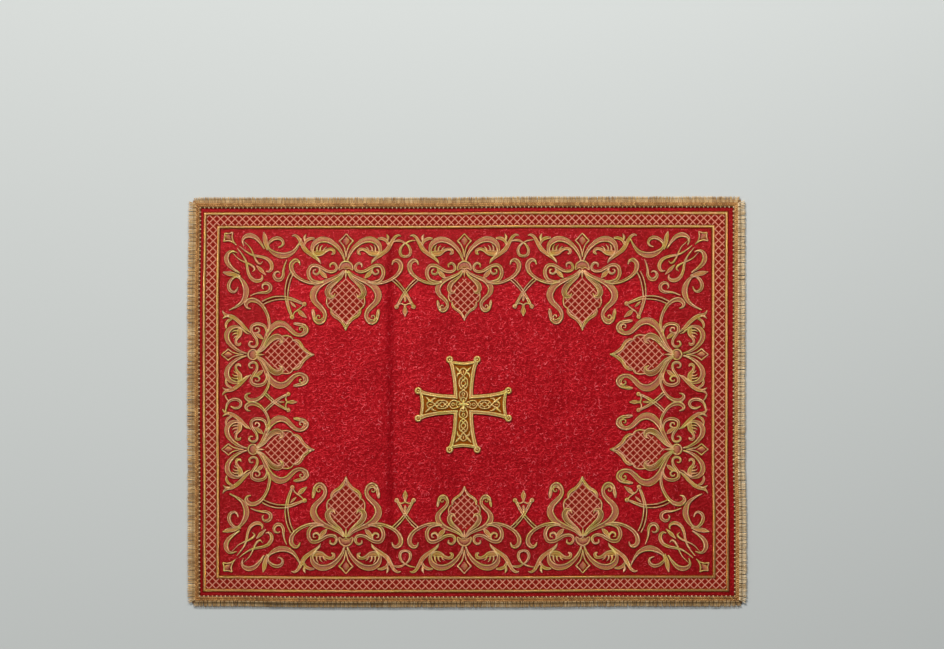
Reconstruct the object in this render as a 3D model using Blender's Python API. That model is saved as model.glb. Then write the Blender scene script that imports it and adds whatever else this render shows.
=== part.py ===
"""An aer: a rectangular brocade cloth with raised gold embroidery and a gold fringe, laid flat.

Metres, +Z up. The origin is below the middle of the cloth, on the surface that it lies on.
"""

import math

import bmesh
import bpy
import numpy as np
from mathutils import Matrix, Vector

MM = 0.001

# Widths from the tip of the fringe inwards. Each lock is shorter along the long sides.
WIDTH = 600 * MM
DEPTH = 441 * MM
LOCK_END_SIDES = 7.5 * MM
LOCK_LONG_SIDES = 6.0 * MM
HEADING = 5.5 * MM
MARGIN = 4.5 * MM
RAIL = 3.7 * MM
LATTICE = 10.6 * MM

# Heights.
CLOTH = 2.0 * MM
GAP = 0.3 * MM
HEADING_THICKNESS = 1.2 * MM
RAIL_RAISE = 0.8 * MM
CROSS_THICKNESS = 1.2 * MM
LOCK_THICKNESS = 1.0 * MM

HEADING_HALF_X = WIDTH / 2 - LOCK_END_SIDES
HEADING_HALF_Y = DEPTH / 2 - LOCK_LONG_SIDES
HEM_TUCK = 0.5 * MM
PANEL_HALF_X = HEADING_HALF_X - HEM_TUCK
PANEL_HALF_Y = HEADING_HALF_Y - HEM_TUCK

# The fold that runs down the cloth: a sharp valley with a soft shoulder on either side of it.
VALLEY_X = -83.7 * MM
SHOULDER_LEFT = 28.0 * MM
SHOULDER_RIGHT = 19.5 * MM
SHOULDER_HEIGHT_LEFT = 2.6 * MM
SHOULDER_HEIGHT_RIGHT = 2.0 * MM
SHOULDER_FLOOR = 0.12
FOLD_FADE_START = 110 * MM
FOLD_FADE_LENGTH = 100 * MM
FOLD_AT_HEM = 0.35

# A faint trough right of the middle.
TROUGH_X = 105 * MM
TROUGH_Y = 24 * MM
TROUGH_HALF_WIDTH = 16 * MM
TROUGH_HALF_LENGTH = 75 * MM
TROUGH_HEIGHT = 0.9 * MM

# The lower left corner breaks along a slanting ridge.
RIDGE_POINT = Vector((-297 * MM, -151 * MM))
RIDGE_END = Vector((-206 * MM, -212 * MM))
RIDGE_HEIGHT = 2.0 * MM
RIDGE_HALF_WIDTH = 30 * MM

# The edges bow in a little from the full size.
BOW_X = 1.4 * MM
BOW_Y = 1.0 * MM

# The fringe in the solids: fewer and wider strands than the real trim has.
STRANDS_END_SIDES = 60
STRANDS_LONG_SIDES = 82
STRAND_PITCH = 7.05 * MM
STRAND_WIDTH = 4.9 * MM
STRAND_DROP = 2.2 * MM
STRAND_SHORTER = (0.0, 0.5, 0.2, 0.8, 0.1, 0.6, 0.3)
STRAND_LEANS = (0.3, -0.4, 0.4, -0.2, 0.1)
MITRE_CLEARANCE = 0.22 * MM

# The cross.
CROSS_CENTRE = Vector((-3.6 * MM, -2.8 * MM))
CROSS_ROOT = 9.2 * MM
CROSS_NECK = 11.6 * MM
CROSS_KNOB_OUT = 48.8 * MM
CROSS_KNOB_SIDE = 14.0 * MM
CROSS_KNOB_RADIUS = 3.7 * MM
CROSS_BAR_OUT = 47.0 * MM

GRID_STEP = 14.4 * MM


def smooth(value):
    """0 up to 0, 1 from 1 on, with a soft step between."""
    value = min(max(value, 0.0), 1.0)
    return value * value * (3 - 2 * value)


def shoulder(distance):
    """A fold's height beside its valley, by the distance in shoulder widths: 1 at the shoulder."""
    reach = abs(distance)
    raw = reach * math.exp(1 - reach)
    if reach < 1:
        return raw
    return max(0.0, raw - SHOULDER_FLOOR) / (1 - SHOULDER_FLOOR)


def valley_height(x, y):
    across = x - VALLEY_X
    if across < 0:
        height = SHOULDER_HEIGHT_LEFT * shoulder(across / SHOULDER_LEFT)
    else:
        height = SHOULDER_HEIGHT_RIGHT * shoulder(across / SHOULDER_RIGHT)
    fade = smooth((abs(y) - FOLD_FADE_START) / FOLD_FADE_LENGTH)
    return height * (1 - (1 - FOLD_AT_HEM) * fade)


def trough_height(x, y):
    across = ((x - TROUGH_X) / TROUGH_HALF_WIDTH) ** 2
    if across > 9:
        return 0.0
    swell = across * math.exp(1 - across) * smooth((9 - across) / 5)
    return TROUGH_HEIGHT * swell * (1 - smooth(abs(y - TROUGH_Y) / TROUGH_HALF_LENGTH))


def ridge_height(x, y):
    along = (RIDGE_END - RIDGE_POINT).normalized()
    offset = Vector((x, y)) - RIDGE_POINT
    distance = abs(along.x * offset.y - along.y * offset.x)
    return RIDGE_HEIGHT * (1 - smooth(distance / RIDGE_HALF_WIDTH))


def fold_height(x, y):
    """How far the cloth's underside stands off the surface."""
    x = min(max(x, -PANEL_HALF_X), PANEL_HALF_X)
    y = min(max(y, -PANEL_HALF_Y), PANEL_HALF_Y)
    return max(valley_height(x, y), ridge_height(x, y)) + trough_height(x, y)


def bowed(x, y):
    """The place in plan of a point of the flat cloth: its edges bow in from the full size."""
    if x > 0:
        full_x = smooth((-60 * MM - y) / (70 * MM))
    else:
        full_x = smooth((y + 140 * MM) / (120 * MM)) * smooth((190 * MM - y) / (90 * MM))
    if y > 0:
        full_y = smooth((x + 40 * MM) / (120 * MM))
    else:
        full_y = smooth((x + 250 * MM) / (90 * MM)) * smooth((170 * MM - x) / (120 * MM))
    shift_x = -BOW_X * (1 - full_x) * x / (WIDTH / 2)
    shift_y = -BOW_Y * (1 - full_y) * y / (DEPTH / 2)
    return x + shift_x, y + shift_y


def inward_lines(heading_half):
    """Lines on one half, from the field out: both rails, the margin and the heading's inner edge."""
    heading_in = heading_half - HEADING
    rail_out = heading_in - MARGIN
    lattice_out = rail_out - RAIL
    lattice_in = lattice_out - LATTICE
    field = lattice_in - RAIL
    return [field, lattice_in, lattice_out, rail_out, heading_in, heading_half - HEM_TUCK]


def divided(stops):
    """The stops, with even divisions of about GRID_STEP between each two."""
    lines = [stops[0]]
    for low, high in zip(stops, stops[1:]):
        count = max(1, round((high - low) / GRID_STEP))
        lines += [low + (high - low) * step / count for step in range(1, count + 1)]
    return lines


EDGE_LINES_X = inward_lines(HEADING_HALF_X)
EDGE_LINES_Y = inward_lines(HEADING_HALF_Y)
LINES_X = divided([-line for line in reversed(EDGE_LINES_X)] + [VALLEY_X] + EDGE_LINES_X)
LINES_Y = divided([-line for line in reversed(EDGE_LINES_Y)] + EDGE_LINES_Y)
GRID_HEIGHTS = np.array([[fold_height(x, y) for y in LINES_Y] for x in LINES_X])


def cloth_height(x, y):
    """fold_height on the panel's own grid lines, with straight runs between them."""
    x = min(max(x, LINES_X[0]), LINES_X[-1])
    y = min(max(y, LINES_Y[0]), LINES_Y[-1])
    column = min(max(int(np.searchsorted(LINES_X, x)) - 1, 0), len(LINES_X) - 2)
    row = min(max(int(np.searchsorted(LINES_Y, y)) - 1, 0), len(LINES_Y) - 2)
    across = (x - LINES_X[column]) / (LINES_X[column + 1] - LINES_X[column])
    up = (y - LINES_Y[row]) / (LINES_Y[row + 1] - LINES_Y[row])
    low = GRID_HEIGHTS[column, row] * (1 - across) + GRID_HEIGHTS[column + 1, row] * across
    high = GRID_HEIGHTS[column, row + 1] * (1 - across) + GRID_HEIGHTS[column + 1, row + 1] * across
    return float(low * (1 - up) + high * up)


def clear_scene():
    for obj in list(bpy.data.objects):
        bpy.data.objects.remove(obj, do_unlink=True)


def new_collection(name):
    collection = bpy.data.collections.new(name)
    bpy.context.scene.collection.children.link(collection)
    return collection


def new_material(name, colour, roughness, metallic):
    material = bpy.data.materials.new(name)
    material.use_nodes = True
    shader = material.node_tree.nodes["Principled BSDF"]
    shader.inputs["Base Color"].default_value = (*colour, 1)
    shader.inputs["Roughness"].default_value = roughness
    shader.inputs["Metallic"].default_value = metallic
    return material


def new_object(name, mesh_builder, collection, material):
    """An object of this name from a bmesh, which is freed."""
    bmesh.ops.recalc_face_normals(mesh_builder, faces=mesh_builder.faces)
    mesh = bpy.data.meshes.new(name)
    mesh_builder.to_mesh(mesh)
    mesh_builder.free()
    mesh.materials.append(material)
    obj = bpy.data.objects.new(name, mesh)
    collection.objects.link(obj)
    return obj


def gridded_slab(lines_x, lines_y, bottom, top):
    """A flat slab with its faces divided on these lines."""
    slab = bmesh.new()
    columns = len(lines_x) - 1
    rows = len(lines_y) - 1
    bmesh.ops.create_grid(slab, x_segments=columns, y_segments=rows, size=0.5)
    for vert in slab.verts:
        column = round((vert.co.x + 0.5) * columns)
        row = round((vert.co.y + 0.5) * rows)
        vert.co = Vector((lines_x[column], lines_y[row], bottom))
    raised = bmesh.ops.extrude_face_region(slab, geom=slab.faces[:])
    for vert in raised["geom"]:
        if isinstance(vert, bmesh.types.BMVert):
            vert.co.z = top
    return slab


def raise_faces(mesh_builder, faces, height):
    raised = bmesh.ops.extrude_face_region(mesh_builder, geom=faces)
    bmesh.ops.delete(mesh_builder, geom=faces, context="FACES")
    for vert in raised["geom"]:
        if isinstance(vert, bmesh.types.BMVert):
            vert.co.z += height


def lay_on_folds(mesh_builder):
    """Moves each point of a flat piece to its place on the folded cloth."""
    for vert in mesh_builder.verts:
        height = cloth_height(vert.co.x, vert.co.y)
        x, y = bowed(vert.co.x, vert.co.y)
        vert.co = Vector((x, y, vert.co.z + height))


def in_ring(point, inner_x, outer_x, inner_y, outer_y):
    """Whether a point lies in the rectangular ring between the inner and the outer half sizes."""
    x = abs(point.x)
    y = abs(point.y)
    return x < outer_x and y < outer_y and (x > inner_x or y > inner_y)


def rail_faces(slab):
    """The top faces of the outer and the inner rail."""
    found = []
    for face in slab.faces:
        middle = face.calc_center_median()
        if middle.z < CLOTH - GAP:
            continue
        inner = in_ring(middle, EDGE_LINES_X[0], EDGE_LINES_X[1], EDGE_LINES_Y[0], EDGE_LINES_Y[1])
        outer = in_ring(middle, EDGE_LINES_X[2], EDGE_LINES_X[3], EDGE_LINES_Y[2], EDGE_LINES_Y[3])
        if inner or outer:
            found.append(face)
    return found


def build_panel(collection, material):
    slab = gridded_slab(LINES_X, LINES_Y, 0.0, CLOTH)
    raise_faces(slab, rail_faces(slab), RAIL_RAISE)
    lay_on_folds(slab)
    return new_object("panel", slab, collection, material)


def strand_lines(count, half_length):
    """The strands' edges along a strip, with the strip's ends."""
    lines = [-half_length]
    for index in range(count):
        middle = (index - (count - 1) / 2) * STRAND_PITCH
        lines += [middle - STRAND_WIDTH / 2, middle + STRAND_WIDTH / 2]
    return lines + [half_length]


def build_strip(name, outward, heading_half, half_length, lock, strands, collection, material):
    """One length of trim: its heading over the panel's edge, and its strands out to the surface.

    It is made along X with its strands towards +Y, at the heading's own place, then turned.
    """
    strip = gridded_slab(
        strand_lines(strands, half_length),
        [heading_half - HEADING, heading_half],
        CLOTH + GAP,
        CLOTH + GAP + HEADING_THICKNESS,
    )
    strip.faces.ensure_lookup_table()
    fronts = [face for face in strip.faces if face.calc_center_median().y > heading_half - 1e-6]
    fronts.sort(key=lambda face: face.calc_center_median().x)
    for vert in strip.verts:
        inner = vert.co.y < heading_half - HEADING / 2
        end = half_length - MITRE_CLEARANCE - (HEADING if inner else 0.0)
        if inner or abs(vert.co.x) > half_length - 1e-6:
            vert.co.x *= end / half_length
    turn = math.atan2(outward[1], outward[0]) - math.pi / 2
    tips = []
    for index, face in enumerate(fronts[1::2]):
        tips += grow_strand(strip, face, heading_half, lock, index)
    bmesh.ops.rotate(strip, verts=strip.verts, matrix=Matrix.Rotation(turn, 3, "Z"))
    on_floor = set(tips)
    for vert in strip.verts:
        x, y = vert.co.x, vert.co.y
        height = 0.0 if vert in on_floor else cloth_height(x, y)
        vert.co = Vector((*bowed(x, y), vert.co.z + height))
    return new_object(name, strip, collection, material)


def grow_strand(strip, face, heading_half, lock, index):
    """Draws a strand out of the heading's face: down to the surface, then level to its tip."""
    shorter = STRAND_SHORTER[index % len(STRAND_SHORTER)] * MM
    lean = STRAND_LEANS[index % len(STRAND_LEANS)] * MM
    low_top = {"drop": LOCK_THICKNESS, "tip": LOCK_THICKNESS * 0.8}
    reach = {"drop": STRAND_DROP, "tip": lock - shorter}
    grown = []
    for part in ("drop", "tip"):
        middle = face.calc_center_median()
        end = bmesh.ops.extrude_discrete_faces(strip, faces=[face])["faces"][0]
        for vert in end.verts:
            upper = vert.co.z > middle.z
            vert.co.y = heading_half + reach[part]
            vert.co.z = low_top[part] if upper else 0.0
            vert.co.x += lean / 2
        grown += list(end.verts)
        face = end
    return grown


def half_arm_outline():
    """One side of an arm that points along +Y, from its root to the middle of its end."""
    steps = 4
    points = []
    for step in range(steps + 1):
        out = step / (steps + 1)
        side = CROSS_ROOT + (CROSS_NECK - CROSS_ROOT) * out ** 2
        points.append(Vector((side, CROSS_ROOT + (CROSS_KNOB_OUT - CROSS_KNOB_RADIUS - CROSS_ROOT) * out)))
    for turn_degrees in range(-120, 181, 50):
        angle = math.radians(turn_degrees)
        knob_x = CROSS_KNOB_SIDE + CROSS_KNOB_RADIUS * math.cos(angle)
        knob_y = CROSS_KNOB_OUT + CROSS_KNOB_RADIUS * math.sin(angle)
        points.append(Vector((knob_x, knob_y)))
    points.append(Vector((0.0, CROSS_BAR_OUT)))
    return points


def cross_outline():
    """The whole cross, anticlockwise: each arm's right side out and its left side back."""
    half = half_arm_outline()
    arm = half + [Vector((-point.x, point.y)) for point in reversed(half[:-1])]
    arm = arm[:-1]
    outline = []
    for quarter in range(4):
        cosine = math.cos(quarter * math.pi / 2)
        sine = math.sin(quarter * math.pi / 2)
        for point in arm:
            outline.append(Vector((point.x * cosine - point.y * sine, point.x * sine + point.y * cosine)))
    return outline


def cut_on_lines(mesh_builder, lines, axis):
    """Divides a closed piece on planes across one axis, leaving it whole."""
    for line in lines:
        place = Vector((0, 0, 0))
        place[axis] = line
        normal = Vector((0, 0, 0))
        normal[axis] = 1
        whole = mesh_builder.verts[:] + mesh_builder.edges[:] + mesh_builder.faces[:]
        bmesh.ops.bisect_plane(mesh_builder, geom=whole, dist=1e-7, plane_co=place, plane_no=normal)


def build_cross(collection, material):
    cross = bmesh.new()
    bottom = CLOTH + GAP
    corners = [cross.verts.new((*(CROSS_CENTRE + point), bottom)) for point in cross_outline()]
    flat = cross.faces.new(corners)
    raised = bmesh.ops.extrude_face_region(cross, geom=[flat])
    for vert in raised["geom"]:
        if isinstance(vert, bmesh.types.BMVert):
            vert.co.z = bottom + CROSS_THICKNESS
    reach = CROSS_KNOB_OUT + CROSS_KNOB_RADIUS
    near_x = [line for line in LINES_X if abs(line - CROSS_CENTRE.x) < reach]
    near_y = [line for line in LINES_Y if abs(line - CROSS_CENTRE.y) < reach]
    cut_on_lines(cross, near_x, 0)
    cut_on_lines(cross, near_y, 1)
    bmesh.ops.triangulate(cross, faces=cross.faces)
    lay_on_folds(cross)
    return new_object("cross", cross, collection, material)


def main():
    clear_scene()
    aer = new_collection("aer")
    brocade = new_material("red_brocade", (0.42, 0.012, 0.02), 0.45, 0.0)
    trim = new_material("gold_trim", (0.52, 0.34, 0.14), 0.5, 0.35)
    thread = new_material("gold_thread", (0.58, 0.36, 0.12), 0.4, 0.5)
    build_panel(aer, brocade)
    build_cross(aer, thread)
    long_side = (HEADING_HALF_Y, HEADING_HALF_X, LOCK_LONG_SIDES, STRANDS_LONG_SIDES)
    end_side = (HEADING_HALF_X, HEADING_HALF_Y, LOCK_END_SIDES, STRANDS_END_SIDES)
    build_strip("fringe_top", (0, 1), *long_side, aer, trim)
    build_strip("fringe_bottom", (0, -1), *long_side, aer, trim)
    build_strip("fringe_right", (1, 0), *end_side, aer, trim)
    build_strip("fringe_left", (-1, 0), *end_side, aer, trim)


main()
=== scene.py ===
"""The looks of a red brocade aer with gold embroidery and a gold fringe, laid flat and seen from above.

Metres, +Z up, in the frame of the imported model. Motif tables and the sizes of strokes are in millimetres.
"""

import math

import bpy
import numpy as np
from mathutils import Matrix, Vector


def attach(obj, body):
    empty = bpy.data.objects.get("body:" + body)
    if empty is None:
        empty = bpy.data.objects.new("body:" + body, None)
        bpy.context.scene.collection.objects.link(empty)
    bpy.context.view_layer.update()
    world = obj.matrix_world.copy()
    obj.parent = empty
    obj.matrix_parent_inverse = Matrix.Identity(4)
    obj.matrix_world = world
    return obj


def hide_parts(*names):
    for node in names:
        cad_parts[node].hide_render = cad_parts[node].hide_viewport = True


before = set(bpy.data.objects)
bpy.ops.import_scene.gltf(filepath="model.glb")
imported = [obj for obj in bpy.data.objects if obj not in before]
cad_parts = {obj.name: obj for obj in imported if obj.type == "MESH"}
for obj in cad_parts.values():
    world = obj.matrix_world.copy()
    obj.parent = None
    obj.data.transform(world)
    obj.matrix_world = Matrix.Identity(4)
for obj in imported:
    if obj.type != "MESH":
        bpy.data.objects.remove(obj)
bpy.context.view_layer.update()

MM = 0.001
TURN = 2 * math.pi

# Sizes of the cloth and its trim, from the tip of the fringe inwards.
WIDTH = 600 * MM
DEPTH = 441 * MM
LOCK_END_SIDES = 7.5 * MM
LOCK_LONG_SIDES = 6.0 * MM
HEADING = 5.5 * MM
MARGIN = 4.5 * MM
RAIL = 3.7 * MM
LATTICE = 10.6 * MM
CLOTH = 2.0 * MM
FACE_FROM = 0.8 * CLOTH
HEM_TUCK = 0.5 * MM
HEM_WIDTH = 9 * MM
HEM_STEP = 0.4 * MM
SOFT_EDGE = 1.5 * MM
HEADING_HALF_X = WIDTH / 2 - LOCK_END_SIDES
HEADING_HALF_Y = DEPTH / 2 - LOCK_LONG_SIDES
PANEL_HALF_X = HEADING_HALF_X - HEM_TUCK
PANEL_HALF_Y = HEADING_HALF_Y - HEM_TUCK
MARGIN_HALF_X = HEADING_HALF_X - HEADING - MARGIN - RAIL / 2
MARGIN_HALF_Y = HEADING_HALF_Y - HEADING - MARGIN - RAIL / 2
FIELD_HALF_X = HEADING_HALF_X - HEADING - MARGIN - 2 * RAIL - LATTICE
FIELD_HALF_Y = HEADING_HALF_Y - HEADING - MARGIN - 2 * RAIL - LATTICE
# Painted shade on the brocade among the embroidery: it starts this far inside the field's edge and grows to
# full over the fade.
WORKED_WIDTH = 66 * MM
WORKED_FADE = 20 * MM
LOCK_FADE = 3.2 * MM

# The folds, a little higher than in the solids. A swell: where it rises, levels, falls and ends, its height.
VALLEY_X = -79.0 * MM
VALLEY_BAND = 14 * MM
FOLD_SWELLS = (
    (-124 * MM, -108 * MM, -104 * MM, -80 * MM, 0.9 * MM),
    (-255 * MM, -124 * MM, -87.6 * MM, -77.4 * MM, 3.6 * MM),
    (-76 * MM, -50 * MM, -46 * MM, -6 * MM, 2.0 * MM),
)
FOLD_FADE_START = 110 * MM
FOLD_FADE_LENGTH = 100 * MM
FOLD_AT_HEM = 0.35
TROUGH_X = 105 * MM
TROUGH_Y = 24 * MM
TROUGH_HALF_WIDTH = 16 * MM
TROUGH_HALF_LENGTH = 75 * MM
TROUGH_HEIGHT = 0.9 * MM
TROUGH_CUT = 9
TROUGH_FADE = 5
RIDGE_POINT = (-297 * MM, -151 * MM)
RIDGE_END = (-206 * MM, -212 * MM)
RIDGE_HEIGHT = 2.0 * MM
RIDGE_HALF_WIDTH = 30 * MM

# How far the edges bow in, and where each is full: where that starts and levels, falls and ends.
BOW_X = 1.4 * MM
BOW_Y = 1.0 * MM
FULL_LEFT = (-140 * MM, -20 * MM, 100 * MM, 190 * MM)
FULL_RIGHT = (-400 * MM, -300 * MM, -130 * MM, -60 * MM)
FULL_TOP = (-40 * MM, 80 * MM, 300 * MM, 400 * MM)
FULL_BOTTOM = (-250 * MM, -160 * MM, 50 * MM, 170 * MM)
LEAST_LOWER_LEFT = 0.65

# Soft unevenness of the cloth's face: direction in degrees, wave length and height in millimetres.
RIPPLES = (
    (12, 61, 0.09), (74, 37, 0.07), (131, 47, 0.08), (163, 23, 0.05), (38, 17, 0.035), (101, 13, 0.03),
)


def smooth(value):
    value = np.clip(value, 0.0, 1.0)
    return value * value * (3 - 2 * value)


def fold_height(x, y):
    """How far the cloth's underside stands off the surface, for arrays of places."""
    x = np.clip(x, -PANEL_HALF_X, PANEL_HALF_X)
    y = np.clip(y, -PANEL_HALF_Y, PANEL_HALF_Y)
    fade = smooth((np.abs(y) - FOLD_FADE_START) / FOLD_FADE_LENGTH)
    swell = 0.0
    for rise, level, edge, foot, height in FOLD_SWELLS:
        swell = swell + height * (smooth((x - rise) / (level - rise)) - smooth((x - edge) / (foot - edge)))
    valley = swell * (1 - (1 - FOLD_AT_HEM) * fade)
    across = ((x - TROUGH_X) / TROUGH_HALF_WIDTH) ** 2
    shoulders = across * np.exp(1 - across) * smooth((TROUGH_CUT - across) / TROUGH_FADE)
    trough = TROUGH_HEIGHT * shoulders * (1 - smooth(np.abs(y - TROUGH_Y) / TROUGH_HALF_LENGTH))
    run_x = RIDGE_END[0] - RIDGE_POINT[0]
    run_y = RIDGE_END[1] - RIDGE_POINT[1]
    off_line = np.abs(run_x * (y - RIDGE_POINT[1]) - run_y * (x - RIDGE_POINT[0]))
    distance = off_line / math.hypot(run_x, run_y)
    ridge = RIDGE_HEIGHT * (1 - smooth(distance / RIDGE_HALF_WIDTH))
    return np.maximum(valley, ridge) + trough


def full_share(place, rise, level, edge, foot):
    return smooth((place - rise) / (level - rise)) * smooth((foot - place) / (foot - edge))


def bowed(x, y):
    """The place in plan of points of the flat cloth, whose edges bow in a little."""
    left = full_share(y, *FULL_LEFT)
    left = np.where(y < 0, np.maximum(left, LEAST_LOWER_LEFT), left)
    full_x = np.where(x > 0, full_share(y, *FULL_RIGHT), left)
    full_y = np.where(y > 0, full_share(x, *FULL_TOP), full_share(x, *FULL_BOTTOM))
    shift_x = -BOW_X * (1 - full_x) * x / (WIDTH / 2)
    shift_y = -BOW_Y * (1 - full_y) * y / (DEPTH / 2)
    return x + shift_x, y + shift_y


def ripple(x, y):
    """How far the cloth's face swells, for arrays of places."""
    swell = 0.0
    for order, (degrees, wave_length, height) in enumerate(RIPPLES):
        run = x * math.cos(math.radians(degrees)) + y * math.sin(math.radians(degrees))
        swell = swell + height * MM * np.sin(TURN * run / (wave_length * MM) + order)
    return swell


def lay_on_cloth(mesh, settle=None):
    """Moves a flat mesh's points onto the folded cloth. settle gives each point's share of the fold."""
    places = np.empty(len(mesh.vertices) * 3)
    mesh.vertices.foreach_get("co", places)
    places = places.reshape(-1, 3)
    x, y = places[:, 0].copy(), places[:, 1].copy()
    share = 1.0 if settle is None else settle(x, y)
    on_face = places[:, 2] > FACE_FROM
    places[:, 2] += (fold_height(x, y) + ripple(x, y) * on_face) * share
    places[:, 0], places[:, 1] = bowed(x, y)
    mesh.vertices.foreach_set("co", places.ravel())
    mesh.update()


# Node helpers
class Out:
    """An output of a node, which adds, multiplies and so on like a number."""

    def __init__(self, tree, socket):
        self.tree = tree
        self.socket = socket

    def calc(self, operation, *others):
        values = dict(enumerate((self, *others)))
        return out(self.tree, "ShaderNodeMath", values, operation=operation)

    def __add__(self, other):
        return self.calc("ADD", other)

    def __sub__(self, other):
        return self.calc("SUBTRACT", other)

    def __rsub__(self, other):
        return -self + other

    def __mul__(self, other):
        return self.calc("MULTIPLY", other)

    def __truediv__(self, other):
        return self.calc("DIVIDE", other)

    def __pow__(self, other):
        return self.calc("POWER", other)

    def __neg__(self):
        return self * -1.0

    def __abs__(self):
        return self.calc("ABSOLUTE")

    def at_least(self, other):
        return self.calc("MAXIMUM", other)

    def at_most(self, other):
        return self.calc("MINIMUM", other)


def give(node, values):
    """Links or sets a node's inputs, by name or number."""
    for key, value in values.items():
        if isinstance(value, Out):
            value.tree.links.new(value.socket, node.inputs[key])
        else:
            node.inputs[key].default_value = value


def add(tree, kind, values=None, **settings):
    """A node with its settings and its inputs."""
    node = tree.nodes.new(kind)
    for name, value in settings.items():
        setattr(node, name, value)
    give(node, values or {})
    return node


def out(tree, kind, values=None, output=0, **settings):
    """One output of a new node."""
    return Out(tree, add(tree, kind, values, **settings).outputs[output])


def parts_of(vector, kind="ShaderNodeSeparateXYZ"):
    """The three parts of a vector, or of a colour with the kind of node that separates it."""
    node = add(vector.tree, kind, {0: vector})
    return [Out(vector.tree, socket) for socket in node.outputs]


def combined(tree, **parts):
    return out(tree, "ShaderNodeCombineXYZ", parts)


def of_vectors(first, operation, second):
    return out(first.tree, "ShaderNodeVectorMath", {0: first, 1: second}, operation=operation)


def noise_of(vector, scale, detail=2.0, output="Fac"):
    values = {"Vector": vector, "Scale": scale, "Detail": detail}
    return out(vector.tree, "ShaderNodeTexNoise", values, output)


def wave(phase):
    """From 0 to 1 and back for each turn of the phase."""
    return phase.calc("SINE") * 0.5 + 0.5


def colour(red, green, blue):
    """A colour of the shaders from display values of 0 to 255."""
    steps = [value / 255 for value in (red, green, blue)]
    linear = [step / 12.92 if step <= 0.04045 else ((step + 0.055) / 1.055) ** 2.4 for step in steps]
    return (*linear, 1.0)


def ramp(factor, stops):
    """A colour ramp with a row (position, display colour) for each stop."""
    node = add(factor.tree, "ShaderNodeValToRGB", {"Fac": factor})
    elements = node.color_ramp.elements
    while len(elements) < len(stops):
        elements.new(0.5)
    for element, (position, shade) in zip(elements, stops):
        element.position = position
        element.color = colour(*shade)
    return Out(factor.tree, node.outputs["Color"])


def mixed(factor, first, second, blend="MIX"):
    values = {0: factor, 6: first, 7: second}
    return out(first.tree, "ShaderNodeMix", values, 2, data_type="RGBA", blend_type=blend)


def new_surface(name, roughness, metallic=0.0, sheen=0.0, specular=0.5):
    """(material, its node tree)."""
    material = bpy.data.materials.new(name)
    material.use_nodes = True
    shader = material.node_tree.nodes["Principled BSDF"]
    give(shader, {"Roughness": roughness, "Metallic": metallic})
    give(shader, {"Sheen Weight": sheen, "Specular IOR Level": specular})
    return material, material.node_tree


def painted(material, shade, height=None, distance=0.2 * MM, strength=1.0):
    """A material with its colour and its relief."""
    shader = material.node_tree.nodes["Principled BSDF"]
    give(shader, {"Base Color": shade})
    if height is not None:
        relief = {"Height": height, "Distance": distance, "Strength": strength}
        give(shader, {"Normal": out(height.tree, "ShaderNodeBump", relief)})
    return material


def object_place(tree):
    return out(tree, "ShaderNodeTexCoord", output="Object")


def stitch_coordinates(tree):
    """(distance along the thread in metres, place across it from -1 to 1)."""
    along, across, _ = parts_of(out(tree, "ShaderNodeUVMap", uv_map="stitches"))
    return along, across


# Curls of the brocade: cell of the net, radius, half width, gap in radians, and shift of the net.
CURLS = (
    (5.4 * MM, 1.9 * MM, 0.48 * MM, 0.9, 0.0),
    (6.4 * MM, 2.5 * MM, 0.44 * MM, 1.7, 0.5),
    (4.0 * MM, 1.1 * MM, 0.42 * MM, 1.3, 0.9),
)
CURL_BEND = 5.0 * MM
TWILL = 0.42 * MM
STITCH = 0.55 * MM
NET_TWIST = 0.9 * MM

# Ramps: rows (position, display colour).
BROCADE_STOPS = ((0.0, (150, 2, 12)), (0.25, (186, 8, 22)), (0.58, (214, 26, 42)), (0.95, (255, 140, 146)))
# The tint of the painted shade that darkens the brocade among the embroidery.
WORKED_SHADE = (80, 22, 2)
THREAD_TINTS = ((0.36, (226, 255, 150)), (0.5, (252, 252, 248)), (0.64, (255, 226, 255)))
SHADING_STOPS = (
    (0.0, (206, 150, 78)),
    (0.3, (164, 104, 56)),
    (0.5, (196, 126, 90)),
    (0.66, (146, 46, 32)),
    (0.8, (186, 104, 80)),
    (1.0, (130, 14, 18)),
)
LATTICE_STOPS = ((0.0, (182, 98, 74)), (1.0, (246, 184, 150)))

# Satin stitch: the thread's dark, middle and light, its share of metal, and how far its hue drifts.
SATINS = {
    "gold_satin": ((180, 97, 24), (253, 167, 70), (255, 228, 170), 0.75, 0.55),
    "rail_satin": ((172, 82, 18), (252, 152, 50), (255, 212, 138), 0.85, 0.3),
    "cross_satin": ((184, 110, 20), (255, 188, 70), (255, 236, 156), 0.66, 0.25),
    "gilt_fill": ((128, 72, 20), (182, 118, 46), (222, 162, 86), 0.2, 0.6),
    "olive_fill": ((80, 40, 10), (124, 76, 28), (174, 122, 60), 0.2, 0.6),
}

# Yarns of the trim: dark, middle and light.
YARNS = {
    "lock_yarn": ((140, 98, 52), (204, 166, 110), (242, 216, 172)),
    "heading_yarn": ((112, 70, 26), (178, 120, 56), (232, 180, 108)),
    "heading_strip": ((100, 66, 28), (132, 90, 42), (160, 116, 60)),
    "apron_yarn": ((150, 108, 64), (176, 134, 84), (206, 164, 112)),
}

# Cloth with a fine weave: dark, light, the scale of its weave, and its shader's values.
WEAVES = {
    "red_reverse": ((120, 14, 22), (150, 22, 32), 900.0, {"roughness": 0.75, "sheen": 0.2}),
    "cross_ground": ((118, 46, 2), (158, 90, 8), 800.0, {"roughness": 0.8, "specular": 0.1}),
}

# Plain colours: the painted shade round strokes and rails, the cloth under the nets with painted shade, the
# painted shade in the nets' cells, and the surface below all: colour and roughness.
PLAINS = {
    "drawn_cloth": ((108, 20, 8), 0.8),
    "net_cloth": ((146, 36, 20), 0.8),
    "net_opening": ((130, 22, 10), 0.8),
    "pale_ground": ((203, 207, 205), 0.9),
}


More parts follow.
